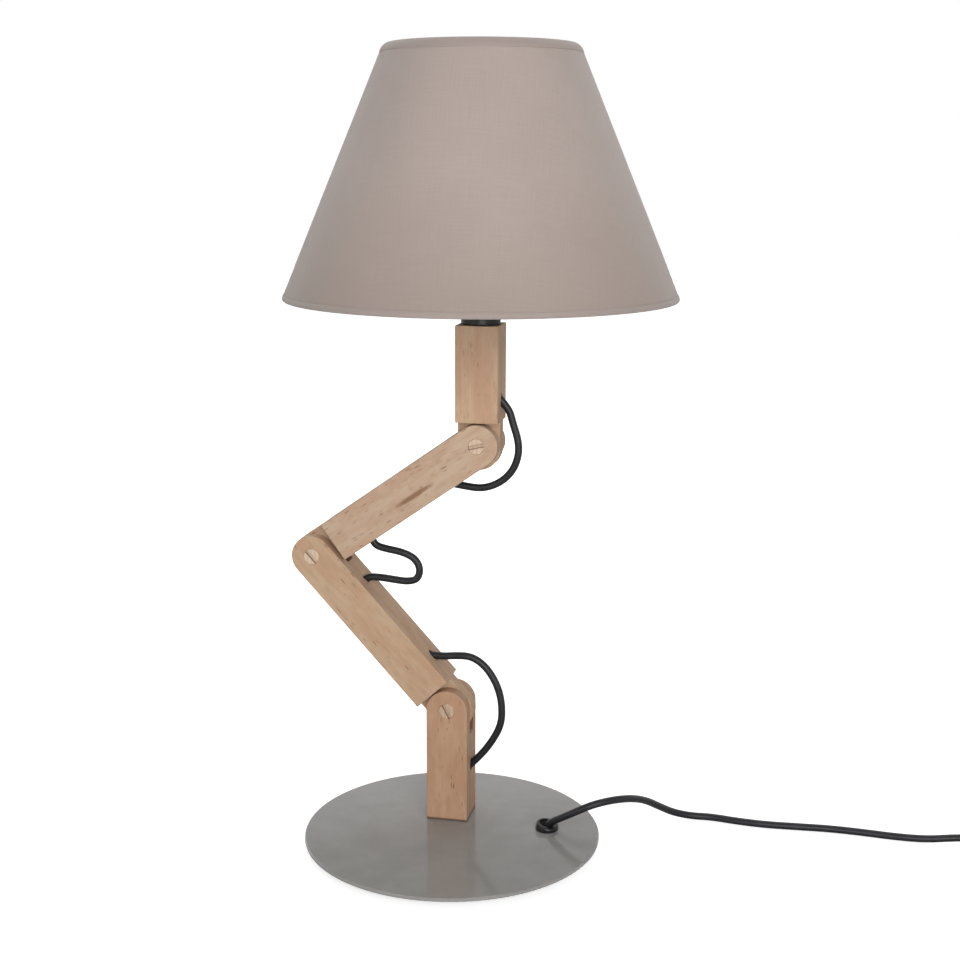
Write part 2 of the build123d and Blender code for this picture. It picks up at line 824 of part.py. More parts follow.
nipple_low = -nipple_sunk + holder_gap
with BuildPart() as holder_nipple:
    turned(rectangle_of(nipple_bore, nipple_radius, nipple_low, nipple_low + nipple_length))
write(holder_nipple, "holder_nipple")

with BuildPart() as holder_cap:
    turned(rectangle_of(nipple_radius + thread_clearance, cap_radius, 0, cap_floor))
    turned(rectangle_of(cap_radius - cap_wall, cap_radius, 0, cap_height))
    lowest_rings = holder_cap.edges().filter_by(GeomType.CIRCLE).group_by(Axis.Z)[0]
    fillet(lowest_rings.sort_by(SortBy.RADIUS)[-1], cap_edge_radius)
write(holder_cap, "holder_cap")

skirt_bore = skirt_radius - skirt_wall
with BuildPart() as holder_skirt:
    turned(rectangle_of(skirt_bore, skirt_radius, cap_height, skirt_top))
    turned(rectangle_of(skirt_bore, cap_radius, cap_height, cap_height + skirt_collar))
    turned(rectangle_of(skirt_lip_bore, skirt_radius, skirt_top - skirt_lip, skirt_top))
    for turn in range(thread_count):
        cut_groove(skirt_radius, thread_depth, cap_height + thread_start + turn * thread_pitch)
write(holder_skirt, "holder_skirt")

insert_radius = skirt_bore - insert_gap
insert_top = skirt_top - skirt_lip - insert_gap
insert_low = cap_height - insert_drop
socket_floor = insert_top - socket_depth
with BuildPart() as holder_insert:
    turned(rectangle_of(0, insert_radius, insert_low, insert_top))
    turned(rectangle_of(0, socket_radius, socket_floor, insert_top + 1), mode=Mode.SUBTRACT)
    with BuildSketch(Plane(origin=(post_top.X, post_y, post_top.Z + insert_low))):
        with Locations((-terminal_offset, 0), (terminal_offset, 0)):
            Rectangle(terminal_length, terminal_width)
    extrude(amount=terminal_depth, mode=Mode.SUBTRACT)
write(holder_insert, "holder_insert")

shell_radius = socket_radius - shell_gap
shell_low = socket_floor + shell_rise
contact_low = socket_floor + shell_gap
contact_top = contact_low + contact_thickness
with BuildPart() as holder_contacts:
    turned(rectangle_of(shell_radius - shell_thickness, shell_radius, shell_low, insert_top - shell_drop))
    turned(rectangle_of(0, contact_radius, contact_low, contact_top))
write(holder_contacts, "holder_contacts")

fitter_low = fitter_rise
fitter_high = fitter_rise + fitter_thickness
lock_bore = skirt_radius + thread_clearance
ring_places = {
    "holder_ring_lower": fitter_low - wire_gap - lock_ring_height,
    "holder_ring_upper": fitter_high + wire_gap,
}
for ring_name, low in ring_places.items():
    with BuildPart() as lock_ring:
        turned(rectangle_of(lock_bore, lock_ring_radius, low, low + lock_ring_flange))
        turned(rectangle_of(lock_bore, lock_ring_radius - lock_ring_step, low, low + lock_ring_height))
        with BuildSketch(Plane(origin=(post_top.X, post_y, post_top.Z + low))):
            with PolarLocations(lock_ring_radius, lock_ring_grip_count):
                Circle(lock_ring_grip_radius)
        extrude(amount=lock_ring_flange, mode=Mode.SUBTRACT)
    write(lock_ring, ring_name)

# ---- bulb ---------------------------------------------------------------------------------

bulb_low = contact_top + bulb_seat_gap
bulb_top = bulb_low + bulb_length
bulb_centre = bulb_top - bulb_radius
neck_height = skirt_top + bulb_rise
with BuildPart() as bulb_cap:
    turned([
        (0, bulb_low),
        (bulb_tip_radius, bulb_low),
        (bulb_tip_radius, bulb_low + bulb_tip_height),
        (bulb_cap_radius, bulb_low + bulb_shoulder_height),
        (bulb_cap_radius, neck_height),
        (0, neck_height),
    ])
    for rib in range(1, bulb_rib_count + 1):
        cut_groove(bulb_cap_radius, bulb_rib_depth, bulb_low + bulb_shoulder_height + rib * bulb_rib_pitch)
write(bulb_cap, "bulb_cap")


def globe_outline(inset):
    """Half section of the bulb: a cone from the neck, tangent to the ball."""
    ball = bulb_radius - inset
    neck = bulb_cap_radius + bulb_neck_step - inset
    reach = bulb_centre - neck_height
    slant = math.hypot(reach, neck)
    touch = math.atan2(neck, -reach) - math.acos(ball / slant)
    return ball, neck, (ball * math.sin(touch), bulb_centre + ball * math.cos(touch))


with BuildPart() as bulb_globe:
    for inset, mode in ((0.0, Mode.ADD), (bulb_wall, Mode.SUBTRACT)):
        ball, neck, touch = globe_outline(inset)
        with BuildSketch(holder_plane) as globe:
            with BuildLine():
                low = neck_height + bulb_gap + inset
                base_line = Line((0, low), (neck, low))
                side_line = Line(base_line @ 1, touch)
                side_angle = math.degrees(math.atan2(touch[1] - bulb_centre, touch[0]))
                crown = CenterArc((0, bulb_centre), ball, side_angle, 90 - side_angle)
                Line(crown @ 1, base_line @ 0)
            make_face()
        revolve(globe.sketch, axis=holder_axis, mode=mode)
write(bulb_globe, "bulb_globe")

# ---- shade --------------------------------------------------------------------------------

shade_low = shade_gap
shade_high = shade_gap + shade_height
shade_slope = (shade_bottom_radius - shade_top_radius) / shade_height


def cone_radius(height, inset):
    """Radius of the shade at a height above the top post, inset from its outermost surface."""
    return shade_bottom_radius - (height - shade_low) * shade_slope - inset


def band(low, high, outer_inset, inner_inset):
    return [
        (cone_radius(low, outer_inset), low),
        (cone_radius(high, outer_inset), high),
        (cone_radius(high, inner_inset), high),
        (cone_radius(low, inner_inset), low),
    ]


skin = binding_thickness
fold = binding_thickness - binding_gap
with BuildPart() as shade_shell:
    turned(band(shade_low + skin, shade_high - skin, skin, skin + shade_wall))
write(shade_shell, "shade_shell")

with BuildPart() as shade_bottom_binding:
    turned(band(shade_low, shade_low + bottom_binding_height, 0, fold))
    turned(band(shade_low, shade_low + fold, 0, skin + shade_wall))
write(shade_bottom_binding, "shade_bottom_binding")

with BuildPart() as shade_top_binding:
    turned(band(shade_high - top_binding_height, shade_high, 0, fold))
    turned(band(shade_high - fold, shade_high, 0, skin + shade_wall))
write(shade_top_binding, "shade_top_binding")

wire_inset = skin + shade_wall + (wire_radius + wire_gap) * math.hypot(1, shade_slope)
bottom_wire_height = shade_low + skin + wire_radius + wire_rise
top_wire_height = shade_high - skin - wire_radius - wire_rise
bottom_wire_radius = cone_radius(bottom_wire_height, wire_inset)
top_wire_radius = cone_radius(top_wire_height, wire_inset)
fitter_bore = skirt_radius + fitter_clearance
fitter_middle = (fitter_low + fitter_high) / 2


def add_wire_ring(radius, height):
    with BuildSketch(holder_plane) as wire:
        with Locations((radius, height)):
            Circle(wire_radius)
    revolve(wire.sketch, axis=holder_axis)


with BuildPart() as shade_carrier:
    turned(rectangle_of(fitter_bore, fitter_radius, fitter_low, fitter_high))
    for spoke in range(spoke_count):
        turn = math.radians(90 + spoke * 360 / spoke_count)
        out = Vector(math.cos(turn), math.sin(turn), 0)
        centre = Vector(post_top.X, post_y, post_top.Z)
        start = centre + out * (fitter_radius - spoke_overlap) + Vector(0, 0, fitter_middle)
        end = centre + out * bottom_wire_radius + Vector(0, 0, bottom_wire_height)
        with BuildSketch(Plane(origin=start, z_dir=end - start)) as rod:
            Circle(wire_radius)
        extrude(rod.sketch, amount=(end - start).length)
write(shade_carrier, "shade_carrier")

with BuildPart() as shade_bottom_wire:
    add_wire_ring(bottom_wire_radius, bottom_wire_height)
write(shade_bottom_wire, "shade_bottom_wire")

with BuildPart() as shade_top_wire:
    add_wire_ring(top_wire_radius, top_wire_height)
write(shade_top_wire, "shade_top_wire")

# ---- supply cord --------------------------------------------------------------------------

supply_cord = tube("supply_cord", supply_route, turn_radii(supply_route))
write(supply_cord, "supply_cord")

coil_lift = tie_thickness + tie_gap
coil_bottom_turn = coil_lift + lead_radius
coil_top_turn = coil_bottom_turn + coil_exit_rise
coil_outer_turn = coil_x + coil_mean_radius + coil_width / 2 - lead_radius
switch_cord_route = [
    (switch_end - cord_in_switch, switch_y, switch_level),
    (471.5, 76.6, 7.4),
    (484.0, 79.6, 5.8),
    (494.6, 87.4, 3.8),
    (501.8, 98.4, 3.2),
    (505.4, 111.0, 3.3),
    (506.3, 124.0, 3.6),
    (coil_outer_turn, 137.0, coil_bottom_turn),
]
switch_cord = tube("switch_cord", switch_cord_route, turn_radii(switch_cord_route))
write(switch_cord, "switch_cord")

plug_level = plug_thickness / 2
sleeve_start = plug_y - plug_sleeve_length
plug_cord_route = [
    (508.4, 127.0, coil_top_turn),
    (511.2, 139.5, coil_top_turn - 0.1),
    (512.4, 153.0, 9.2),
    (511.8, 166.5, 7.6),
    (plug_x, 179.4, plug_level),
    (plug_x, sleeve_start + plug_sleeve_grip - plug_gap, plug_level),
]
plug_cord = tube("plug_cord", plug_cord_route, turn_radii(plug_cord_route))
write(plug_cord, "plug_cord")

with BuildPart() as cord_coil:
    with BuildSketch(Plane(origin=(coil_x, coil_y, coil_lift), x_dir=(1, 0, 0), z_dir=(0, -1, 0))):
        with Locations((coil_mean_radius, coil_height / 2)):
            RectangleRounded(coil_width, coil_height, lead_radius)
    revolve(axis=Axis((coil_x, coil_y, 0), (0, 0, 1)))
write(cord_coil, "cord_coil")

tie_way = Vector(math.cos(math.radians(tie_angle)), math.sin(math.radians(tie_angle)), 0)
coil_middle = Vector(coil_x, coil_y, coil_lift + coil_height / 2)
tie_plane = Plane(
    origin=coil_middle + tie_way * coil_mean_radius,
    x_dir=tie_way,
    z_dir=(-tie_way.Y, tie_way.X, 0),
)
with BuildPart() as cord_tie:
    with BuildSketch(tie_plane):
        wide = coil_width + 2 * tie_side_gap
        high = coil_height + 2 * tie_gap
        RectangleRounded(wide + 2 * tie_thickness, high + 2 * tie_thickness, tie_corner + tie_thickness)
        RectangleRounded(wide, high, tie_corner, mode=Mode.SUBTRACT)
    extrude(amount=tie_width / 2, both=True)
write(cord_tie, "cord_tie")

# ---- in-line switch -----------------------------------------------------------------------

switch_joint = switch_level
switch_base_plane = Plane(origin=(switch_x, switch_y, 0))
switch_split_plane = Plane(origin=(switch_x, switch_y, switch_joint))
inside_length = switch_length - 2 * switch_wall
inside_width = switch_width - 2 * switch_wall
inside_corner = switch_corner - switch_wall
cover_height = switch_height - switch_joint
rocker_level = switch_height - rocker_sunk
rocker_window = 2 * rocker_radius + 2 * rocker_clearance
switch_screw_places = [(-boss_x, boss_y), (boss_x, -boss_y)]
lug_gap = rocker_width / 2 + rocker_clearance
lug_low = rocker_level - lug_drop
lug_high = switch_height - switch_wall / 2
screw_top = case_screw_sunk + case_screw_head_height


def cut_cord_holes():
    with BuildSketch(Plane(origin=(switch_start - 1, switch_y, switch_level), z_dir=(1, 0, 0))) as hole:
        Circle(lead_radius + cord_hole_clearance)
    extrude(hole.sketch, amount=switch_length + 2, mode=Mode.SUBTRACT)


with BuildPart() as switch_base:
    with BuildSketch(switch_base_plane):
        RectangleRounded(switch_length, switch_width, switch_corner)
    extrude(amount=switch_joint)
    fillet(switch_base.faces().sort_by(Axis.Z)[0].edges(), switch_base_edge)
    with BuildSketch(switch_base_plane.offset(switch_wall)):
        RectangleRounded(inside_length, inside_width, inside_corner)
    extrude(amount=switch_joint, mode=Mode.SUBTRACT)
    with BuildSketch(switch_base_plane):
        with Locations(*switch_screw_places):
            Circle(boss_radius)
    extrude(amount=switch_joint)
    with BuildSketch(switch_base_plane):
        with Locations(*switch_screw_places):
            Circle(case_screw_radius + case_screw_clearance)
    extrude(amount=switch_joint, mode=Mode.SUBTRACT)
    with BuildSketch(switch_base_plane):
        with Locations(*switch_screw_places):
            Circle(case_screw_head + case_screw_clearance)
    extrude(amount=screw_top + case_screw_clearance, mode=Mode.SUBTRACT)
    cut_cord_holes()
write(switch_base, "switch_base")

with BuildPart() as switch_cover:
    with BuildSketch(switch_split_plane):
        RectangleRounded(switch_length, switch_width, switch_corner)
    extrude(amount=cover_height)
    fillet(switch_cover.faces().sort_by(Axis.Z)[-1].edges(), switch_cover_edge)
    with BuildSketch(switch_split_plane):
        RectangleRounded(inside_length, inside_width, inside_corner)
    extrude(amount=cover_height - switch_wall, mode=Mode.SUBTRACT)
    with BuildSketch(switch_split_plane):
        Rectangle(rocker_window, rocker_width + 2 * rocker_clearance)
    extrude(amount=switch_height, mode=Mode.SUBTRACT)
    with BuildSketch(switch_base_plane.offset(lug_low)):
        for side in (1, -1):
            with Locations((0, side * (lug_gap + lug_thickness / 2))):
                Rectangle(lug_length, lug_thickness)
    extrude(amount=lug_high - lug_low)
    pivot_plane = Plane(origin=(switch_x, switch_y, rocker_level), x_dir=(1, 0, 0), z_dir=(0, -1, 0))
    with BuildSketch(pivot_plane):
        Circle(trunnion_radius + running_clearance)
    extrude(amount=lug_gap + lug_thickness, both=True, mode=Mode.SUBTRACT)
    with BuildSketch(switch_split_plane):
        with Locations(*switch_screw_places):
            Circle(boss_radius)
    extrude(amount=lug_high - switch_joint)
    with BuildSketch(switch_split_plane):
        with Locations(*switch_screw_places):
            Circle(case_screw_radius + case_screw_clearance)
    extrude(amount=case_screw_bite + case_screw_clearance, mode=Mode.SUBTRACT)
    cut_cord_holes()
write(switch_cover, "switch_cover")

with BuildPart() as switch_screws:
    with BuildSketch(switch_base_plane.offset(case_screw_sunk)):
        with Locations(*switch_screw_places):
            Circle(case_screw_head)
    extrude(amount=case_screw_head_height)
    with BuildSketch(switch_base_plane.offset(screw_top)):
        with Locations(*switch_screw_places):
            Circle(case_screw_radius)
    extrude(amount=switch_joint + case_screw_bite - screw_top)
    with BuildSketch(switch_base_plane.offset(case_screw_sunk)):
        with Locations(*switch_screw_places):
            Rectangle(4 * case_screw_slot, case_screw_slot)
            Rectangle(case_screw_slot, 4 * case_screw_slot)
    extrude(amount=case_screw_head_height / 2, mode=Mode.SUBTRACT)
write(switch_screws, "switch_screws")

rocker_tilt = math.radians(rocker_travel / 2)
rocker_plane = Plane(
    origin=(switch_x, switch_y, rocker_level),
    x_dir=(math.cos(rocker_tilt), 0, math.sin(rocker_tilt)),
    z_dir=(0, -1, 0),
)
with BuildPart() as switch_rocker:
    with BuildSketch(rocker_plane):
        Circle(rocker_radius)
        wing = rocker_ridge + rocker_radius * math.tan(rocker_tilt) + rocker_crest
        with BuildSketch(mode=Mode.INTERSECT):
            with BuildLine():
                Polyline(
                    (-rocker_radius, -rocker_skirt),
                    (rocker_radius, -rocker_skirt),
                    (rocker_radius, wing),
                    (0, rocker_ridge),
                    (-rocker_radius, wing),
                    close=True,
                )
            make_face()
    extrude(amount=rocker_width / 2, both=True)
    with BuildSketch(rocker_plane):
        Circle(trunnion_radius)
    extrude(amount=lug_gap + lug_thickness - rocker_clearance, both=True)
write(switch_rocker, "switch_rocker")

with BuildPart() as switch_contacts:
    leaf_x = terminal_block_x - (terminal_block_length + leaf_length) / 2
    for side in (1, -1):
        with BuildSketch(switch_base_plane.offset(switch_wall + contact_gap)):
            with Locations((side * terminal_block_x, -side * terminal_block_y)):
                Rectangle(terminal_block_length, terminal_block_width)
        extrude(amount=terminal_block_height)
        with BuildSketch(switch_base_plane.offset(switch_wall + contact_gap)):
            with Locations((side * leaf_x, -side * terminal_block_y)):
                Rectangle(leaf_length, leaf_width)
        extrude(amount=leaf_thickness)
write(switch_contacts, "switch_contacts")

# ---- plug ---------------------------------------------------------------------------------

plug_rear_plane = Plane(origin=(plug_x, plug_y, plug_level), x_dir=(1, 0, 0), z_dir=(0, 1, 0))

with BuildPart() as plug_body:
    with BuildSketch(plug_rear_plane):
        RectangleRounded(plug_rear_width, plug_rear_thickness, plug_rear_corner)
    with BuildSketch(plug_rear_plane.offset(plug_length * plug_middle_share)):
        RectangleRounded(plug_middle_width, plug_middle_thickness, plug_middle_corner)
    with BuildSketch(plug_rear_plane.offset(plug_length)):
        RectangleRounded(plug_width, plug_thickness, plug_corner)
    loft()
    with BuildSketch(plug_rear_plane.offset(plug_length)):
        with GridLocations(plug_pin_spacing, 0, 2, 1):
            Circle(plug_pin_root_radius + plug_pin_clearance)
    extrude(amount=-plug_pin_seat, mode=Mode.SUBTRACT)
write(plug_body, "plug_body")

with BuildPart() as plug_pins:
    with BuildSketch(plug_rear_plane.offset(plug_length + plug_pin_clearance - plug_pin_seat)):
        with GridLocations(plug_pin_spacing, 0, 2, 1):
            Circle(plug_pin_root_radius)
    extrude(amount=plug_pin_seat - plug_pin_clearance + plug_pin_root_length)
    with BuildSketch(plug_rear_plane.offset(plug_length + plug_pin_root_length)):
        with GridLocations(plug_pin_spacing, 0, 2, 1):
            Circle(plug_pin_radius)
    extrude(amount=plug_pin_length - plug_pin_root_length)
    fillet(plug_pins.faces().sort_by(Axis.Y)[-2:].edges(), plug_pin_edge)
write(plug_pins, "plug_pins")

with BuildPart() as plug_sleeve:
    with BuildSketch(plug_rear_plane.offset(-plug_sleeve_length)):
        Circle(lead_radius + plug_sleeve_thin_wall)
    with BuildSketch(plug_rear_plane.offset(-plug_gap)):
        Circle(lead_radius + plug_sleeve_thick_wall)
    loft()
    with BuildSketch(plug_rear_plane.offset(-plug_sleeve_length)):
        Circle(lead_radius + plug_sleeve_clearance)
    extrude(amount=plug_sleeve_grip, mode=Mode.SUBTRACT)
write(plug_sleeve, "plug_sleeve")
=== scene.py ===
import bpy
import math
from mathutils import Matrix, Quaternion, Vector


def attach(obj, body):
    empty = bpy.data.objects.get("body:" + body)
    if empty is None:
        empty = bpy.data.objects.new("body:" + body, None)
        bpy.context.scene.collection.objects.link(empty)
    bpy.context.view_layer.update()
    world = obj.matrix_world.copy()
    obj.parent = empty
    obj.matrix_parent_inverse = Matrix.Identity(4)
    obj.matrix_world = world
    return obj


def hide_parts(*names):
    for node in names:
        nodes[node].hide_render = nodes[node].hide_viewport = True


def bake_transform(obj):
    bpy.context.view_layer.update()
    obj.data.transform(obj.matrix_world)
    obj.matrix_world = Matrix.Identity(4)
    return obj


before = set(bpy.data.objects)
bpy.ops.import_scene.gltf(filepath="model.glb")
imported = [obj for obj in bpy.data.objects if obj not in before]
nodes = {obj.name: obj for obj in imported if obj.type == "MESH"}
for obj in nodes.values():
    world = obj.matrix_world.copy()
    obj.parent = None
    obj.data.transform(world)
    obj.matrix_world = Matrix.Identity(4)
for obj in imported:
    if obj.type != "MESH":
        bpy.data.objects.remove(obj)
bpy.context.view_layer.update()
millimetre = 0.001

# a little to the right of the front, looking down on the plate
cameraView = {
    "place": (0.255, -1.105, 0.535),
    "ahead": (-0.2020, 0.9569, -0.2085),
    "lens": 57.607,
    "sensor": 36.0,
    "roll": 0.003,
    "nearest": 0.05,
    "farthest": 50,
}


def place(name, data):
    thing = bpy.data.objects.new(name, data)
    bpy.context.scene.collection.objects.link(thing)
    return thing


def turnTo(thing, direction, roll=0.0):
    thing.rotation_mode = "QUATERNION"
    aim = Vector(direction).to_track_quat("-Z", "Y")
    thing.rotation_quaternion = aim @ Quaternion((0, 0, 1), roll)


def makeCamera(view):
    data = bpy.data.cameras.new("camera")
    data.lens = view["lens"]
    data.sensor_width = view["sensor"]
    data.clip_start = view["nearest"]
    data.clip_end = view["farthest"]
    camera = place("camera", data)
    camera.location = view["place"]
    turnTo(camera, view["ahead"], view["roll"])
    bpy.context.scene.camera = camera


makeCamera(cameraView)
print("camera ready")


def metres(points):
    return [tuple(value * millimetre for value in point) for point in points]


def meshObject(name, vertices, faces, smooth=True):
    mesh = bpy.data.meshes.new(name)
    mesh.from_pydata(vertices, [], faces)
    mesh.polygons.foreach_set("use_smooth", [smooth] * len(mesh.polygons))
    mesh.update()
    return place(name, mesh)


def smoothCurve(name, points, radius=0.0, detail=12):
    data = bpy.data.curves.new(name, "CURVE")
    data.dimensions = "3D"
    data.resolution_u = detail
    data.bevel_depth = radius
    data.bevel_resolution = 6
    data.use_fill_caps = True
    spline = data.splines.new("NURBS")
    spline.points.add(len(points) - 1)
    for control, point in zip(spline.points, points):
        control.co = (*point, 1)
    spline.order_u = 3  # after the points, or it stays straight
    spline.use_endpoint_u = True
    return place(name, data)


# the points along the smooth line of a route
def smoothPath(points, detail=12):
    guide = smoothCurve("guide", points, detail=detail)
    bpy.context.view_layer.update()
    line = bpy.data.meshes.new_from_object(guide)
    path = [vertex.co.copy() for vertex in line.vertices]
    bpy.data.objects.remove(guide)
    bpy.data.meshes.remove(line)
    return path


def lineLength(path):
    return sum((b - a).length for a, b in zip(path, path[1:]))


def tube(name, path, radius, sides=20):
    vertices = []
    faces = []
    side = Vector((0, 1, 0))
    for index, point in enumerate(path):
        before = path[max(index - 1, 0)]
        after = path[min(index + 1, len(path) - 1)]
        forward = (after - before).normalized()
        side = (side - forward * side.dot(forward)).normalized()
        up = forward.cross(side)
        for step in range(sides):
            angle = 2 * math.pi * step / sides
            vertices.append(point + (side * math.cos(angle) + up * math.sin(angle)) * radius)
    for index in range(len(path) - 1):
        for step in range(sides):
            a = index * sides + step
            b = index * sides + (step + 1) % sides
            faces.append((a, b, b + sides, a + sides))
    faces.append(tuple(reversed(range(sides))))
    last = (len(path) - 1) * sides
    faces.append(tuple(range(last, last + sides)))
    return meshObject(name, vertices, faces)


def newMaterial(name):
    material = bpy.data.materials.new(name)
    material.use_nodes = True
    tree = material.node_tree
    return material, tree, tree.nodes["Principled BSDF"]


# a socket is linked, anything else is set on the input itself
def setInputs(tree, node, inputs):
    for key, value in inputs.items():
        if isinstance(value, bpy.types.NodeSocket):
            tree.links.new(value, node.inputs[key])
        else:
            node.inputs[key].default_value = value


def add(tree, kind, inputs=None, **settings):
    node = tree.nodes.new("ShaderNode" + kind)
    for key, value in settings.items():
        setattr(node, key, value)
    setInputs(tree, node, inputs or {})
    return node


def calculate(tree, operation, *values):
    return add(tree, "Math", dict(enumerate(values)), operation=operation).outputs[0]


def plus(tree, first, second):
    return calculate(tree, "ADD", first, second)


def minus(tree, first, second):
    return calculate(tree, "SUBTRACT", first, second)


def times(tree, first, second):
    return calculate(tree, "MULTIPLY", first, second)


def absolute(tree, value):
    return calculate(tree, "ABSOLUTE", value)


def remap(tree, value, low, high, fromLow=0.0, fromHigh=1.0):
    return add(tree, "MapRange", {"Value": value, "From Min": fromLow, "From Max": fromHigh,
                                  "To Min": low, "To Max": high}).outputs[0]


def noise(tree, where, scale=1.0, detail=2.0, rough=0.5):
    return add(tree, "TexNoise", {"Vector": where, "Scale": scale, "Detail": detail,
                                  "Roughness": rough}).outputs["Fac"]


def axes(tree, vector):
    return add(tree, "SeparateXYZ", {0: vector}).outputs


def sameForAll(tree, value):
    return add(tree, "CombineColor", {0: value, 1: value, 2: value}).outputs[0]


def mixColour(tree, share, first, second, blend="MIX"):
    node = add(tree, "Mix", data_type="RGBA", blend_type=blend)
    sockets = {socket.identifier: socket for socket in node.inputs}
    for key, value in (("Factor_Float", share), ("A_Color", first), ("B_Color", second)):
        if isinstance(value, bpy.types.NodeSocket):
            tree.links.new(value, sockets[key])
        else:
            sockets[key].default_value = (*value, 1) if key != "Factor_Float" else value
    return {socket.identifier: socket for socket in node.outputs}["Result_Color"]


def ramp(tree, value, stops, smooth=True):
    node = add(tree, "ValToRGB", {0: value})
    band = node.color_ramp
    band.interpolation = "EASE" if smooth else "LINEAR"
    while len(band.elements) < len(stops):
        band.elements.new(0.5)
    for element, (position, colour) in zip(band.elements, stops):
        element.position = position
        element.color = (*colour, 1)
    return node.outputs["Color"]


def grey(value):
    return (value, value, value)


def lighter(colour, share):
    return tuple(value * share for value in colour)


def tinted(colour, tint):
    return tuple(value * share for value, share in zip(colour, tint))


# distance is how high the relief stands, in metres
def bump(tree, shader, height, distance, strength=1.0):
    node = add(tree, "Bump", {"Height": height, "Distance": distance, "Strength": strength})
    tree.links.new(node.outputs[0], shader.inputs["Normal"])


# millimetres along the axes of a member that starts at origin
def local(tree, origin=(0, 0, 0), turn=(0, 0, 0)):
    source = add(tree, "TexCoord").outputs["Object"]
    return add(tree, "Mapping", {"Vector": source, "Location": origin, "Rotation": turn,
                                 "Scale": (millimetre, millimetre, millimetre)},
               vector_type="TEXTURE").outputs[0]


def stretched(tree, vector, scale, offset=(0, 0, 0)):
    return add(tree, "Mapping", {"Vector": vector, "Scale": scale, "Location": offset}).outputs[0]


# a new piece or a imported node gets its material
def finish(thing, material):
    if thing.data.materials:
        for slot in thing.material_slots:
            slot.link = "OBJECT"
            slot.material = material
    else:
        thing.data.materials.append(material)


def finishNodes(material, *nodeNames):
    for nodeName in nodeNames:
        finish(nodes[nodeName], material)


leadRadius = 2.9
leadLook = {
    "colour": (0.011, 0.011, 0.013),
    "worn": (0.019, 0.019, 0.022),
    "roughness": 0.40,
    "specular": 0.30,
    "cloudScale": 0.12,
    "skinScale": 2.4,
}


def leadMaterial(look):
    material, tree, shader = newMaterial("blackLead")
    where = local(tree)
    wear = ramp(tree, noise(tree, where, look["cloudScale"], 4.0), [(0.35, grey(0)), (0.75, grey(1))])
    skin = noise(tree, where, look["skinScale"], 3.0)
    setInputs(tree, shader, {
        "Base Color": mixColour(tree, wear, look["colour"], look["worn"]),
        "Roughness": remap(tree, skin, look["roughness"] - 0.06, look["roughness"] + 0.10),
        "Specular IOR Level": look["specular"],
    })
    bump(tree, shader, skin, 0.00004, 0.6)
    return material


leadBlack = leadMaterial(leadLook)

# supply cord: one line from the plate through the switch and the coil to the plug
cordRoute = [
    (72.4, 17.4, 9.0), (74.21, 16.57, 13.15), (77.4, 14.6, 17.6), (84.5, 10.9, 22.6), (96.5, 7.4, 30.4),
    (109, 8.6, 36.8), (121, 14.4, 39), (131.5, 24.5, 37.6), (140.5, 37, 33.4), (148.5, 50.5, 26.6),
    (157.5, 63, 17.2), (168.5, 74, 8), (182.5, 81.5, 3), (199, 83, 3), (218, 79.4, 3), (241, 77.4, 3),
    (266, 78.8, 3), (292, 80.6, 3), (318, 79.4, 3), (344, 76.6, 3), (368, 75.6, 3.6), (389, 76.2, 6.6),
    (400, 76.5, 7.5), (412, 76.5, 7.4), (422, 76.5, 5.4), (430, 76.5, 4.7), (440, 76.5, 4.7),
    (449, 76.5, 5.6), (458, 76.5, 7.5), (471.5, 76.6, 7.4), (484, 79.6, 5.8), (494.6, 87.4, 3.8),
    (501.8, 98.4, 3.2), (505.4, 111, 3.3), (506.3, 124, 3.6),
]
coil = {
    "x": 468.0,
    "y": 140.0,
    "low": 3.8,
    "high": 9.7,
    "outer": 38.3,
    "middle": 32.3,
    "inner": 26.3,
    "stepsPerTurn": 20,
    "shiftFrom": 288.0,  # degrees, where a turn starts to move over to the next
    "shiftTo": 346.0,
    "bulge": 3.2,
}
plugRoute = [
    (490.6, 106.2, 9.7), (499.6, 113.2, 9.7), (507.0, 123.4, 9.7), (511.4, 137.0, 9.5), (512.4, 152.0, 8.8),
    (511.6, 166.5, 7.6), (511, 179.4, 6.75), (511, 191.9, 6.75),
]
# six turns that wind inwards on the table and outwards again on top
def coilPoints():
    seats = [("outer", "low"), ("middle", "low"), ("inner", "low"),
             ("inner", "high"), ("middle", "high"), ("outer", "high")]
    points = []
    for seat, (ring, level) in enumerate(seats):
        following = seats[seat + 1] if seat + 1 < len(seats) else None
        for step in range(coil["stepsPerTurn"]):
            angle = 360 * step / coil["stepsPerTurn"]
            share = (angle - coil["shiftFrom"]) / (coil["shiftTo"] - coil["shiftFrom"])
            share = min(max(share, 0), 1)
            if following is None and share > 0:
                break
            share = share * share * (3 - 2 * share)
            radius, height = coil[ring], coil[level]
            if following:
                radius += (coil[following[0]] - radius) * share
                height += (coil[following[1]] - height) * share
                if following[0] == ring:
                    radius -= coil["bulge"] * math.sin(math.pi * share)
            turned = math.radians(angle)
            points.append((coil["x"] + radius * math.cos(turned),
                           coil["y"] + radius * math.sin(turned), height))
    return points


supplyRoute = metres(cordRoute + coilPoints() + plugRoute)
supplyCord = smoothCurve("supplyCord", supplyRoute, radius=leadRadius * millimetre, detail=8)
supplyPath = smoothPath(supplyRoute, detail=8)
finish(supplyCord, leadBlack)
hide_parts("supply_cord", "switch_cord", "cord_coil", "plug_cord")
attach(supplyCord, "base")
print("supply cord", round(lineLength(supplyPath), 3))

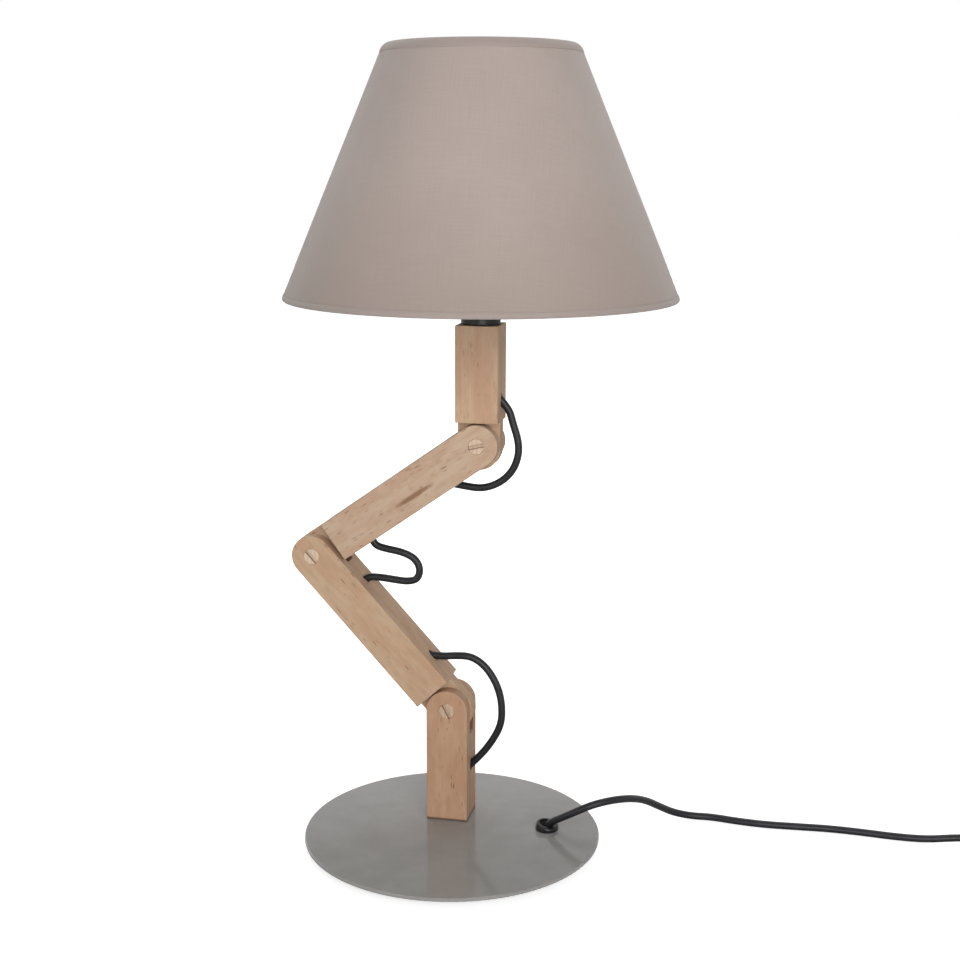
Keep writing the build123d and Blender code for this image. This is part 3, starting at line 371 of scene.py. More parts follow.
# pivots and the mouths of the side holes, as x and z in millimetres, each mouth with its direction
basePivot = (-8.0, 102.3)
elbowPivot = (-117.366, 222.491)
neckPivot = (15.255, 316.393)
armDepth = 32.0
mouths = {
    "post": ((8.5, 53.2), (0.7071, 0.7071)),
    "lowerLow": ((-22.45, 142.70), (0.9989, -0.0471)),
    "lowerHigh": ((-79.05, 204.90), (0.0471, 0.9989)),
    "upperLow": ((-73.60, 233.30), (-0.1685, -0.9857)),
    "upperHigh": ((-3.50, 283.00), (0.9857, -0.1685)),
    "top": ((31.755, 350.0), (0.7071, -0.7071)),
}


def outOf(mouth, distance):
    (x, z), (dx, dz) = mouths[mouth]
    return (x + dx * distance, armDepth, z + dz * distance)


def about(pivot, offsets):
    return [(pivot[0] + x, armDepth, pivot[1] + z) for x, z in offsets]


# loops of the lead past the joints
loops = {
    "leadLoopBase": {
        "route": [outOf("lowerLow", -4),
                  *about(basePivot, [(-8.5, 39.8), (3.5, 41.3), (15.5, 41.7), (25.8, 36.0), (34.0, 25.8),
                                     (39.6, 13.0), (41.6, -1.0), (40.6, -14.5), (33.4, -28.7)]),
                  outOf("post", 10), outOf("post", -4)],
        "ends": ("lowerLow", "post"),
        "bodies": ("lower_arm", "base"),
        "node": "lead_loop_base",
    },
    "leadLoopElbow": {
        "route": [outOf("lowerHigh", -9), outOf("lowerHigh", -4.3),
                  *about(elbowPivot, [(42.2, -18.1), (51.9, -18.0), (62.9, -19.2), (73.9, -20.2),
                                      (82.2, -17.9), (84.5, -9.2), (80.2, -0.9), (70.4, 3.6),
                                      (57.9, 5.5), (47.8, 7.7)]),
                  outOf("upperLow", -4.3), outOf("upperLow", -9)],
        "ends": ("lowerHigh", "upperLow"),
        "bodies": ("lower_arm", "upper_arm"),
        "bentBy": (-65.1, armDepth, 210.0),  # a point on the loop a little past its lower hole
        "node": "lead_loop_elbow",
    },
    "leadLoopNeck": {
        "route": [outOf("upperHigh", -4), outOf("upperHigh", 7),
                  *about(neckPivot, [(2.2, -35.8), (15.7, -30.6), (25.5, -20.9), (30.1, -8.4), (29.6, 3.4),
                                     (25.2, 16.8)]),
                  outOf("top", 8), outOf("top", -4)],
        "ends": ("upperHigh", "top"),
        "bodies": ("upper_arm", "head"),
        "node": "lead_loop_neck",
    },
}
for name, loop in loops.items():
    path = smoothPath(metres(loop["route"]))
    piece = tube(name, path, leadRadius * millimetre)
    finish(piece, leadBlack)
    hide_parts(loop["node"])
    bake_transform(piece)
    print(name, round(lineLength(path), 4))

# shade: cloth on a white lining, with a rolled hem at each wire, in millimetres
shade = {
    "x": 15.255,
    "y": 32.0,
    "low": 427.0,
    "high": 613.0,
    "lowRadius": 150.0,
    "highRadius": 72.2,
    "hemThickness": 0.3,
    "clothInset": 0.42,
    "cloth": 0.55,
    "lining": 0.5,
    "liningGap": 0.05,
    "lowEnd": 429.2,
    "highEnd": 609.6,
    "overlap": 9.0,
    "columns": 288,
    "rows": 40,
    "wave": 0.22,
    "hemPitch": 0.9,  # between two lines of a hem, on its flat cut
}
shadeSlant = math.hypot(shade["high"] - shade["low"], shade["lowRadius"] - shade["highRadius"])
shadeSpread = (shade["lowRadius"] - shade["highRadius"]) / shadeSlant


def shadeShare(height):
    return (height - shade["low"]) / (shade["high"] - shade["low"])


def shadeRadius(height, inset):
    return shade["lowRadius"] + (shade["highRadius"] - shade["lowRadius"]) * shadeShare(height) - inset


# small unevenness of stretched cloth, nothing at the wires
def clothWave(angle, height):
    share = shadeShare(height)
    return shade["wave"] * math.sin(math.pi * share) * (
        0.6 * math.sin(5 * angle + 1.3) + 0.4 * math.sin(11 * angle + 4 * share))


def hangAt(radius, angle, height):
    return (shade["x"] + radius * math.cos(angle), shade["y"] + radius * math.sin(angle), height)


# a sheet with a flat cut as its UV map, in metres, and a thickness that grows inwards
def clothPiece(name, vertices, faces, flat, thickness):
    piece = meshObject(name, metres(vertices), faces)
    layer = piece.data.uv_layers.new(name="cut")
    for corner in piece.data.loops:
        layer.data[corner.index].uv = flat[corner.vertex_index]
    solid = piece.modifiers.new("thickness", "SOLIDIFY")
    solid.thickness = thickness * millimetre
    solid.offset = -1
    return piece


# a cut cone of cloth with its join at the back
def coneSheet(name, inset, thickness, overlap=0.0):
    columns, rows = shade["columns"], shade["rows"]
    low, high = shade["lowEnd"], shade["highEnd"]
    extra = overlap / shade["lowRadius"]
    vertices, flat, faces = [], [], []
    for column in range(columns + 1):
        share = column / columns
        angle = math.pi / 2 + (2 * math.pi + extra) * share
        lift = 0.0
        if extra:  # the last stretch lies on the first
            past = (share * (2 * math.pi + extra) - (2 * math.pi - 0.01)) / 0.02
            lift = min(max(past, 0), 1) * (thickness + shade["liningGap"])
        for row in range(rows + 1):
            height = low + (high - low) * row / rows
            radius = shadeRadius(height, inset) + lift + clothWave(angle, height)
            vertices.append(hangAt(radius, angle, height))
            reach = shadeRadius(height, inset) / shadeSpread
            spread = (angle - 3 * math.pi / 2) * shadeSpread
            flat.append((reach * math.sin(spread) * millimetre, -reach * math.cos(spread) * millimetre))
    for column in range(columns):
        for row in range(rows):
            a = column * (rows + 1) + row
            faces.append((a, a + rows + 1, a + rows + 2, a + 1))
    return clothPiece(name, vertices, faces, flat, thickness)


# how far each line of a hem lies from the edge of the shade, and how far inside its surface
hemLines = {
    "low": [(4.7, 0.34), (4.6, 0.22), (3.6, 0.10), (2.6, 0.12), (1.7, 0.34), (1.0, 0.72), (0.45, 1.24),
            (0.1, 1.9), (0.15, 2.7), (0.4, 3.6), (0.62, 4.5), (1.1, 5.3), (1.9, 5.7), (2.8, 5.6),
            (3.6, 5.1), (4.2, 4.3), (4.6, 3.3), (4.8, 2.4), (5.6, 1.75)],
    "high": [(7.0, 0.34), (6.9, 0.22), (5.6, 0.10), (4.4, 0.12), (3.3, 0.36), (2.3, 0.82), (1.4, 1.45),
             (0.75, 2.15), (0.3, 2.9), (0.12, 3.6), (0.5, 4.35), (1.2, 5.0), (2.2, 5.5), (3.2, 5.7),
             (4.0, 5.3), (4.5, 4.4), (4.7, 3.3), (4.9, 2.3), (5.8, 1.75)],
}


# a strip of cloth that is rolled over the wire and back onto the lining
def hem(name, lines, edge, direction):
    columns, rows = shade["columns"], len(lines)
    vertices, flat, faces = [], [], []
    for column in range(columns):
        angle = math.pi / 2 + 2 * math.pi * column / columns
        for row, (away, inset) in enumerate(lines):
            height = edge - direction * away
            ripple = 0.03 * math.sin(23 * angle + row) + 0.02 * math.sin(51 * angle)
            radius = shadeRadius(height, inset) + (ripple if 0 < row < 5 else 0)  # the outer face puckers
            vertices.append(hangAt(radius, angle, height))
            flat.append((angle * shadeRadius(edge, 0) * millimetre, row * shade["hemPitch"] * millimetre))
    for column in range(columns):
        for row in range(rows - 1):
            a = column * rows + row
            b = ((column + 1) % columns) * rows + row
            faces.append((a, b, b + 1, a + 1) if direction > 0 else (a, a + 1, b + 1, b))
    return clothPiece(name, vertices, faces, flat, shade["hemThickness"])


clothLook = {
    "warp": (0.426, 0.353, 0.320),
    "weft": (0.405, 0.336, 0.306),
    "pitch": 0.42,
    "roughness": 0.88,
    "specular": 0.25,
    "sheen": 0.30,
    "sheenRoughness": 0.45,
    # painted shade: the cloth is darker towards the low edge of the shade
    "paintedShadeAtLowEdge": (0.845, 0.83, 0.795),  # share of the colour left at the low edge
    "paintedShadeFrom": 285.0,  # distance from the tip of the cone
    "paintedShadeTo": 388.0,
    "slubAcross": 1.6,
    "slubAlong": 0.035,
    "waverScale": 0.05,
    "cloudScale": 0.012,
}


# plain weave from two crossing sets of threads, with slubs that run along them, and painted shade that
# darkens it towards the low edge of the shade
def clothMaterial(name, look):
    material, tree, shader = newMaterial(name)
    source = add(tree, "UVMap", uv_map="cut").outputs[0]
    flat = stretched(tree, source, (1000, 1000, 1000))
    across, alongSlant = axes(tree, flat)[:2]
    waver = noise(tree, stretched(tree, flat, grey(look["waverScale"])), 1.0, 3.0)
    threads = 2 * math.pi / look["pitch"]
    warpWave, weftWave = (calculate(tree, "SINE", times(tree, plus(tree, way, waver), threads))
                          for way in (across, alongSlant))
    weave = times(tree, warpWave, weftWave)
    thin, long = look["slubAcross"], look["slubAlong"]
    slubs = plus(tree, noise(tree, stretched(tree, flat, (thin, long, 1)), 1.0, 4.0, 0.6),
                 noise(tree, stretched(tree, flat, (long, thin, 1), (7, 3, 0)), 1.0, 4.0, 0.6))
    cloud = noise(tree, stretched(tree, flat, grey(look["cloudScale"])), 1.0, 2.0)
    onTop = ramp(tree, weave, [(0.0, grey(0)), (1.0, grey(1))], False)
    tone = mixColour(tree, onTop, look["weft"], look["warp"])
    level = times(tree, remap(tree, slubs, 0.93, 1.07, 0.6, 1.4),
                  remap(tree, cloud, 0.975, 1.025, 0.3, 0.7))
    # painted shade, darkening the cloth towards the low edge of the shade
    reach = add(tree, "VectorMath", {0: flat}, operation="LENGTH").outputs["Value"]
    paintedShadeShares = [remap(tree, reach, 1.0, share, look["paintedShadeFrom"], look["paintedShadeTo"]) for share in look["paintedShadeAtLowEdge"]]
    slubsAndPaintedShade = add(tree, "CombineColor", {index: times(tree, level, share)
                                         for index, share in enumerate(paintedShadeShares)}).outputs[0]
    setInputs(tree, shader, {
        "Base Color": mixColour(tree, 1.0, tone, slubsAndPaintedShade, "MULTIPLY"),
        "Roughness": look["roughness"],
        "Specular IOR Level": look["specular"],
        "Sheen Weight": look["sheen"],
        "Sheen Roughness": look["sheenRoughness"],
    })
    bump(tree, shader, plus(tree, times(tree, weave, 0.5), slubs), 0.00009, 0.7)
    return material


liningLook = {
    "shaded": (0.78, 0.77, 0.74),
    "white": (0.84, 0.83, 0.80),
    "grainScale": 0.6,
    "roughness": 0.46,
}


def liningMaterial(look):
    material, tree, shader = newMaterial("whiteLining")
    grain = noise(tree, local(tree), look["grainScale"], 5.0)
    setInputs(tree, shader, {
        "Base Color": ramp(tree, grain, [(0.3, look["shaded"]), (0.7, look["white"])]),
        "Roughness": look["roughness"],
    })
    bump(tree, shader, grain, 0.00003, 0.5)
    return material


# painted shade: both hems are painted a little darker than the cloth, for the shade of their rolled fold
hemPaintedShade = 0.86  # a hem is folded, so it looks a little darker than the cloth
hemLook = {**clothLook, "paintedShadeAtLowEdge": (1, 1, 1), "warp": lighter(clothLook["warp"], hemPaintedShade),
           "weft": lighter(clothLook["weft"], hemPaintedShade)}


clothTaupe = clothMaterial("taupeCloth", clothLook)
hemTaupe = clothMaterial("taupeHem", hemLook)
liningInset = shade["clothInset"] + shade["liningGap"] + shade["cloth"]
shadeCloth = coneSheet("shadeCloth", shade["clothInset"], shade["cloth"], shade["overlap"])
shadeLining = coneSheet("shadeLining", liningInset, shade["lining"])
lowHem = hem("shadeLowHem", hemLines["low"], shade["low"], -1)
highHem = hem("shadeHighHem", hemLines["high"], shade["high"], 1)
finish(shadeCloth, clothTaupe)
finish(lowHem, hemTaupe)
finish(highHem, hemTaupe)
finish(shadeLining, liningMaterial(liningLook))
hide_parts("shade_shell")
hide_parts("shade_top_binding")
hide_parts("shade_bottom_binding")
for piece in (shadeCloth, shadeLining, lowHem, highHem):
    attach(piece, "head")
print("shade ready")

beechLook = {
    "pale": (0.490, 0.340, 0.232),
    "warm": (0.452, 0.285, 0.188),
    "dark": (0.370, 0.230, 0.145),
    "fleck": (0.165, 0.080, 0.045),
    "streak": (0.235, 0.125, 0.070),
    "slotCheekShade": (0.170, 0.080, 0.055),
    # painted contact shadow where the foot post stands on the plate
    "soil": (0.10, 0.06, 0.04),
    "roughness": 0.52,
    "specular": 0.20,
    # painted shade on the cheeks inside the slots
    "slotCheekShadeStrength": 0.88,  # how dark the cheeks of the slots are
    "footShadowStrength": 0.92,
    "footLine": (0.9, 2.4),  # fades out between these heights above the plate
    "slotHalf": 6.5,
    # how often each figure repeats in a millimetre, along the grain and in the two ways across it
    "driftScale": (0.020, 0.085, 0.085),
    "mottleScale": (0.075, 0.24, 0.24),
    "bendScale": (0.010, 0.05, 0.05),
    "ringScale": (0.006, 0.21, 0.12),
    "fibreScale": (0.16, 2.6, 2.6),
    "fleckScale": (0.13, 1.05, 1.05),
    "crowdScale": (0.03, 0.11, 0.11),
    "raggedScale": (0.22, 1.2, 1.2),
}
# angle is the grain's, above +X; a board with more flecks has a lower number there
boards = {
    # the foot post's tint is darker than the arms': partly painted shade, as less light reaches low down,
    # and partly a redder tone
    "base_post": {"material": "beechPost", "origin": basePivot, "angle": 90, "seed": 1.0,
                  "tint": (0.945, 0.875, 0.825), "flecks": 0.93, "foot": -92.3},
    "lower_arm": {"material": "beechLowerArm", "origin": basePivot, "angle": 132.3, "seed": 2.0,
                  "tint": (1.02, 1.035, 1.01), "flecks": 0.92},
    "upper_arm": {"material": "beechUpperArm", "origin": elbowPivot, "angle": 35.3, "seed": 3.0,
                  "tint": (1.03, 1.09, 1.14), "flecks": 0.65,
                  "mark": {"along": 98.5, "across": -4.8, "length": 43.0, "width": 5.2, "slant": -0.01,
                           "depth": 0.95, "front": -10.0}},
    "top_post": {"material": "beechTopPost", "origin": neckPivot, "angle": 90, "seed": 4.0,
                 "tint": (1.02, 1.01, 0.99), "flecks": 0.84},
}


# slow drift from warm to pale, clouds, year rings and fine fibres
def woodGround(tree, shifted, tint):
    drift = noise(tree, stretched(tree, shifted, beechLook["driftScale"]), 1.0, 3.0, 0.55)
    mottle = noise(tree, stretched(tree, shifted, beechLook["mottleScale"]), 1.0, 3.0, 0.55)
    bend = add(tree, "TexNoise", {"Vector": stretched(tree, shifted, beechLook["bendScale"]), "Scale": 1.0,
                                  "Detail": 2.0}).outputs["Color"]
    ringSpace = add(tree, "VectorMath", {0: stretched(tree, shifted, beechLook["ringScale"]), 1: bend},
                    operation="ADD").outputs[0]
    rings = add(tree, "TexWave", {"Vector": ringSpace, "Scale": 1.1, "Distortion": 2.2, "Detail": 2.0,
                                  "Detail Scale": 1.2}, wave_type="BANDS", bands_direction="Z",
                wave_profile="SAW").outputs["Fac"]
    fibre = noise(tree, stretched(tree, shifted, beechLook["fibreScale"]), 1.0, 4.0, 0.6)
    plain = ramp(tree, drift, [(0.38, tinted(beechLook["warm"], tint)),
                               (0.62, tinted(beechLook["pale"], tint))])
    darker = plus(tree, times(tree, rings, 0.16), remap(tree, mottle, 0.0, 0.45, 0.45, 0.75))
    clouded = mixColour(tree, darker, plain, tinted(beechLook["dark"], tint))
    fibreLevel = remap(tree, fibre, 0.955, 1.04, 0.25, 0.75)
    return mixColour(tree, 1.0, clouded, sameForAll(tree, fibreLevel), "MULTIPLY"), fibre


# short dark flecks along the grain, in loose crowds
def woodFlecks(tree, shifted, least):
    cells = add(tree, "TexVoronoi", {"Vector": stretched(tree, shifted, beechLook["fleckScale"]),
                                     "Scale": 1.0, "Randomness": 1.0}, feature="F1")
    red, green, blue = add(tree, "SeparateColor", {0: cells.outputs["Color"]}).outputs[:3]
    spread = remap(tree, blue, 0.50, 1.30)
    near = ramp(tree, calculate(tree, "DIVIDE", cells.outputs["Distance"], spread),
                [(0.20, grey(1)), (0.42, grey(0))])
    crowd = noise(tree, stretched(tree, shifted, beechLook["crowdScale"], (5, 9, 2)), 1.0, 2.0)
    chance = plus(tree, red, minus(tree, crowd, 0.5))
    keep = calculate(tree, "GREATER_THAN", chance, least)
    depth = remap(tree, green, 0.15, 0.95)
    return times(tree, times(tree, near, keep), depth)


# one long dark streak on the front of a board
def woodMark(tree, wood, mark):
    alongGrain, depthWise, upGrain = axes(tree, wood)[:3]
    past = minus(tree, alongGrain, mark["along"])
    alongMark = calculate(tree, "DIVIDE", past, mark["length"] / 2)
    middle = plus(tree, times(tree, past, mark["slant"]), mark["across"])
    acrossMark = calculate(tree, "DIVIDE", minus(tree, upGrain, middle), mark["width"] / 2)
    ragged = noise(tree, stretched(tree, wood, beechLook["raggedScale"]), 1.0, 4.0)
    spread = plus(tree, times(tree, alongMark, alongMark), times(tree, acrossMark, acrossMark))
    edge = plus(tree, spread, times(tree, ragged, 0.8))
    inside = ramp(tree, times(tree, edge, 0.5), [(0.24, grey(1)), (0.74, grey(0))])
    front = calculate(tree, "LESS_THAN", depthWise, mark["front"])
    return times(tree, times(tree, inside, front), mark["depth"])


# planed beech with its grain along x, from the board's origin, with painted shade on the cheeks of its
# slots and a painted contact shadow at the post's foot
def beech(board):
    material, tree, shader = newMaterial(board["material"])
    x, z = board["origin"]
    wood = local(tree, metres([(x, armDepth, z)])[0], (0, -math.radians(board["angle"]), 0))
    seed = board["seed"]
    shifted = stretched(tree, wood, (1, 1, 1), (seed * 61.0, seed * 23.0, seed * 37.0))
    colour, fibre = woodGround(tree, shifted, board["tint"])
    fleck = woodFlecks(tree, shifted, board["flecks"])
    colour = mixColour(tree, fleck, colour, tinted(beechLook["fleck"], board["tint"]))
    if "mark" in board:
        colour = mixColour(tree, woodMark(tree, wood, board["mark"]), colour, beechLook["streak"])
    # painted shade on the cheeks inside the slots
    fromMiddle = absolute(tree, axes(tree, wood)[1])
    cheek = absolute(tree, minus(tree, fromMiddle, beechLook["slotHalf"]))
    slotCheekShade = times(tree, calculate(tree, "LESS_THAN", cheek, 0.15), beechLook["slotCheekShadeStrength"])
    colour = mixColour(tree, slotCheekShade, colour, beechLook["slotCheekShade"])
    # painted contact shadow along the foot of the post
    if "foot" in board:  # a dark line where the post stands on the plate
        darkTo, cleanFrom = (board["foot"] + rise for rise in beechLook["footLine"])
        soiled = remap(tree, axes(tree, wood)[0], beechLook["footShadowStrength"], 0.0, darkTo, cleanFrom)
        colour = mixColour(tree, soiled, colour, beechLook["soil"])
    setInputs(tree, shader, {
        "Base Color": colour,
        "Roughness": remap(tree, fibre, beechLook["roughness"] - 0.08, beechLook["roughness"] + 0.12),
        "Specular IOR Level": beechLook["specular"],
    })
    bump(tree, shader, minus(tree, fibre, times(tree, fleck, 0.8)), 0.00006, 0.5)
    return material


for boardName in boards:
    finishNodes(beech(boards[boardName]), boardName)

pegLook = {
    "pale": (0.600, 0.470, 0.350),
    "dark": (0.540, 0.405, 0.290),
    "pore": (0.33, 0.20, 0.12),
    # painted shade in the peg's slot, darkest along its walls
    "slot": (0.24, 0.14, 0.085),
    "slotFloor": 16.3,  # from the middle of the arm
    "roughness": 0.48,
    "specular": 0.35,
}
pegs = {
    "base_pivot": {"pivot": basePivot, "slotAngle": 118.0, "seed": 1, "tint": (0.86, 0.80, 0.76)},
    "elbow": {"pivot": elbowPivot, "slotAngle": 132.0, "seed": 2, "tint": (1.04, 1.04, 1.04)},
    "neck": {"pivot": neckPivot, "slotAngle": 14.0, "seed": 3, "tint": (0.98, 0.94, 0.93)},
}


# turned beech peg, paler than the arms, with its grain along y and painted shade in its slot
def pegMaterial(name, peg):
    material, tree, shader = newMaterial(name)
    x, z = peg["pivot"]
    where = local(tree, metres([(x, armDepth, z)])[0])
    seed = peg["seed"]
    moved = stretched(tree, where, (1, 1, 1), (seed * 17.0, seed * 5.0, seed * 11.0))
    rings = add(tree, "TexWave", {"Vector": stretched(tree, moved, (0.11, 0.01, 0.07)), "Scale": 0.8,
                                  "Distortion": 4.0, "Detail": 2.0},
                wave_type="BANDS", bands_direction="X").outputs["Fac"]
    pores = add(tree, "TexVoronoi", {"Vector": stretched(tree, moved, (2.6, 0.2, 2.6)),
                                     "Scale": 1.0}).outputs["Distance"]
    turned = ramp(tree, rings, [(0.0, tinted(pegLook["pale"], peg["tint"])),
                                (1.0, tinted(pegLook["dark"], peg["tint"]))])
    speck = ramp(tree, pores, [(0.10, grey(0.45)), (0.24, grey(0))])
    worn = mixColour(tree, speck, turned, pegLook["pore"])
    sideways, deep, upwards = axes(tree, where)[:3]
    slotTurn = math.radians(peg["slotAngle"])
    across = absolute(tree, minus(tree, times(tree, upwards, math.cos(slotTurn)),
                                  times(tree, sideways, math.sin(slotTurn))))
    # painted shade: dark along the slot's walls, lighter on its floor
    edge = ramp(tree, across, [(0.0, grey(0.12)), (0.90, grey(0.25)), (1.0, grey(0.9))])
    sunk = calculate(tree, "LESS_THAN", absolute(tree, deep), pegLook["slotFloor"])
    setInputs(tree, shader, {
        "Base Color": mixColour(tree, times(tree, edge, sunk), worn, pegLook["slot"]),
        "Roughness": pegLook["roughness"],
        "Specular IOR Level": pegLook["specular"],
    })
    bump(tree, shader, rings, 0.00005, 0.4)
    return material


for pegName in pegs:
    finishNodes(pegMaterial(pegName + "Peg", pegs[pegName]), pegName + "_bolt", pegName + "_nut")

fibreLook = {
    "dark": (0.20, 0.085, 0.050),
    "light": (0.29, 0.125, 0.075),
    "grainScale": 1.6,
    "roughness": 0.75,
}


def fibreMaterial(look):
    material, tree, shader = newMaterial("redFibre")
    grain = noise(tree, local(tree), look["grainScale"], 6.0)
    setInputs(tree, shader, {
        "Base Color": ramp(tree, grain, [(0.3, look["dark"]), (0.7, look["light"])]),
        "Roughness": look["roughness"],
    })
    bump(tree, shader, grain, 0.00005, 0.5)
    return material


finishNodes(fibreMaterial(fibreLook), "base_pivot_washers", "elbow_washers", "neck_washers")
finishNodes(leadBlack, "lead_in_base", "lead_in_lower_arm", "lead_in_upper_arm", "lead_in_top_post")
print("wood ready")

plateLook = {
    "colour": (0.272, 0.262, 0.250),
    "dust": (0.300, 0.290, 0.278),
    "speck": (0.38, 0.37, 0.355),
    "roughness": 0.11,
    "specular": 0.50,
    "wavesPerMm": 0.042,
    "waveHeight": 0.00014,
    "cloudScale": 0.05,
    "speckleScale": 1.9,
    "speckScale": 0.33,
    "speckLeast": 0.80,
}


# warm grey gloss lacquer on steel, a little wavy, with dust in it
def plateMaterial(look):
    material, tree, shader = newMaterial("greyLacquer")
    where = local(tree)
    clouds = noise(tree, where, look["cloudScale"], 3.0)
    speckle = noise(tree, where, look["speckleScale"], 4.0, 0.7)
    specks = add(tree, "TexVoronoi", {"Vector": where, "Scale": look["speckScale"], "Randomness": 1.0})
    speckChance = add(tree, "SeparateColor", {0: specks.outputs["Color"]}).outputs[0]
    speckKeep = calculate(tree, "GREATER_THAN", speckChance, look["speckLeast"])
    speckNear = ramp(tree, specks.outputs["Distance"], [(0.04, grey(0.4)), (0.12, grey(0))])
    mixed = plus(tree, times(tree, clouds, 0.6), times(tree, speckle, 0.4))
    tone = ramp(tree, mixed, [(0.30, look["colour"]), (0.70, look["dust"])])
    setInputs(tree, shader, {
        "Base Color": mixColour(tree, times(tree, speckNear, speckKeep), tone, look["speck"]),
        "Roughness": remap(tree, mixed, look["roughness"] - 0.03, look["roughness"] + 0.07, 0.3, 0.7),
        "Specular IOR Level": look["specular"],
    })
    waves = noise(tree, where, look["wavesPerMm"], 1.0)
    bump(tree, shader, plus(tree, waves, times(tree, mixed, 0.04)), look["waveHeight"])
    return material


finishNodes(plateMaterial(plateLook), "base_plate")

# lift is how much lighter the marks are; depth is the height of the grain in metres
mouldings = {
    "grommetRubber": {"colour": (0.007, 0.007, 0.008), "roughness": 0.34, "grain": 1.2, "depth": 0.00004,
                      "lift": 1.35, "specular": 0.35, "nodes": ["cable_grommet"]},
    "switchBlack": {"colour": (0.016, 0.016, 0.017), "roughness": 0.40, "grain": 3.2, "depth": 0.00005,
                    "lift": 1.35, "specular": 0.5,
                    "nodes": ["switch_base", "switch_cover", "switch_rocker"]},
    "plugBlack": {"colour": (0.018, 0.018, 0.019), "roughness": 0.44, "grain": 2.6, "depth": 0.00005,
                  "lift": 1.35, "specular": 0.5, "nodes": ["plug_body", "plug_sleeve"]},
    "holderBlack": {"colour": (0.012, 0.011, 0.011), "roughness": 0.34, "grain": 2.4, "depth": 0.00004,
                    "lift": 1.35, "specular": 0.35,
                    "nodes": ["holder_cap", "holder_skirt", "holder_ring_lower", "holder_ring_upper"]},
    "insertWhite": {"colour": (0.66, 0.64, 0.60), "roughness": 0.45, "grain": 1.4, "depth": 0.00003,
                    "lift": 1.06, "specular": 0.5, "nodes": ["holder_insert"]},
    "padFoam": {"colour": (0.030, 0.029, 0.028), "roughness": 0.90, "grain": 4.5, "depth": 0.00016,
                "lift": 1.5, "specular": 0.2, "nodes": ["base_pad"]},
    "carrierWhite": {"colour": (0.72, 0.71, 0.69), "roughness": 0.38, "grain": 1.6, "depth": 0.00004,
                     "lift": 1.08, "specular": 0.5,
                     "nodes": ["shade_carrier", "shade_bottom_wire", "shade_top_wire"]},
}


# moulded plastic or rubber, foam and enamel, with a fine eroded texture and faint marks
def moulded(name, look):
    material, tree, shader = newMaterial(name)
    where = local(tree)
    grain = noise(tree, where, look["grain"], 3.0)
    marks = noise(tree, where, 0.09, 4.0)
    setInputs(tree, shader, {
        "Base Color": ramp(tree, marks, [(0.35, look["colour"]),
                                         (0.70, lighter(look["colour"], look["lift"]))]),
        "Roughness": remap(tree, marks, look["roughness"] - 0.05, look["roughness"] + 0.08),
        "Specular IOR Level": look["specular"],
    })
    bump(tree, shader, grain, look["depth"], 0.5)
    return material


for mouldingName in mouldings:
    moulding = mouldings[mouldingName]
    finishNodes(moulded(mouldingName, moulding), *moulding["nodes"])

metals = {
    "zincSteel": {"colour": (0.60, 0.60, 0.58), "roughness": 0.34,
                  "nodes": ["base_post_screws", "switch_screws", "holder_nipple"]},
    "contactBrass": {"colour": (0.72, 0.53, 0.26), "roughness": 0.28,
                     "nodes": ["holder_contacts", "switch_contacts"]},
    "bulbCapMetal": {"colour": (0.70, 0.69, 0.66), "roughness": 0.22, "nodes": ["bulb_cap"]},
}


# plated metal with fine drawn lines and a little tarnish
def metalMaterial(name, look):
    material, tree, shader = newMaterial(name)
    where = local(tree)
    lines = noise(tree, stretched(tree, where, (4.0, 0.25, 4.0)), 1.0, 4.0)
    tarnish = noise(tree, where, 0.35, 4.0)
    setInputs(tree, shader, {
        "Base Color": ramp(tree, tarnish, [(0.35, look["colour"]), (0.75, lighter(look["colour"], 0.82))]),
        "Metallic": 1.0,
        "Roughness": remap(tree, lines, look["roughness"] - 0.05, look["roughness"] + 0.10),
    })
    bump(tree, shader, lines, 0.00002, 0.5)
    return material


for metalName in metals:
    metal = metals[metalName]
    finishNodes(metalMaterial(metalName, metal), *metal["nodes"])

pinLook = {
    "sleeve": (0.018, 0.018, 0.019),
    "shaded": (0.60, 0.58, 0.54),
    "nickel": (0.70, 0.68, 0.64),
    "bareFrom": 251.0,
}


# nickel pins whose half next to the plug has a black sleeve
def pinMaterial(look):
    material, tree, shader = newMaterial("nickelPin")
    where = local(tree)
    bare = calculate(tree, "GREATER_THAN", axes(tree, where)[1], look["bareFrom"])
    lines = noise(tree, stretched(tree, where, (3.0, 0.3, 3.0)), 1.0, 3.0)
    nickel = ramp(tree, lines, [(0.3, look["shaded"]), (0.7, look["nickel"])])
    setInputs(tree, shader, {
        "Base Color": mixColour(tree, bare, look["sleeve"], nickel),
        "Metallic": bare,
        "Roughness": remap(tree, lines, 0.22, 0.38),
    })
    bump(tree, shader, lines, 0.00002, 0.5)
    return material


finishNodes(pinMaterial(pinLook), "plug_pins")

glassLook = {
    "shaded": (0.86, 0.85, 0.83),
    "white": (0.90, 0.89, 0.87),
    "roughness": 0.16,
    "lightWithin": 0.25,
    "depthOfLight": 0.006,
}


# opal glass that lets a little light in under its surface
def glassMaterial(look):
    material, tree, shader = newMaterial("opalGlass")
    cloud = noise(tree, local(tree), 0.08, 2.0)
    setInputs(tree, shader, {
        "Base Color": ramp(tree, cloud, [(0.3, look["shaded"]), (0.7, look["white"])]),
        "Roughness": look["roughness"],
        "Subsurface Weight": look["lightWithin"],
        "Subsurface Radius": grey(look["depthOfLight"]),
    })
    return material


finishNodes(glassMaterial(glassLook), "bulb_globe")

tieLook = {
    "top": (0.030, 0.030, 0.032),
    "bottom": (0.014, 0.014, 0.015),
    "roughness": 0.95,
    "sheen": 0.4,
    "fuzzHeight": 0.00025,
}


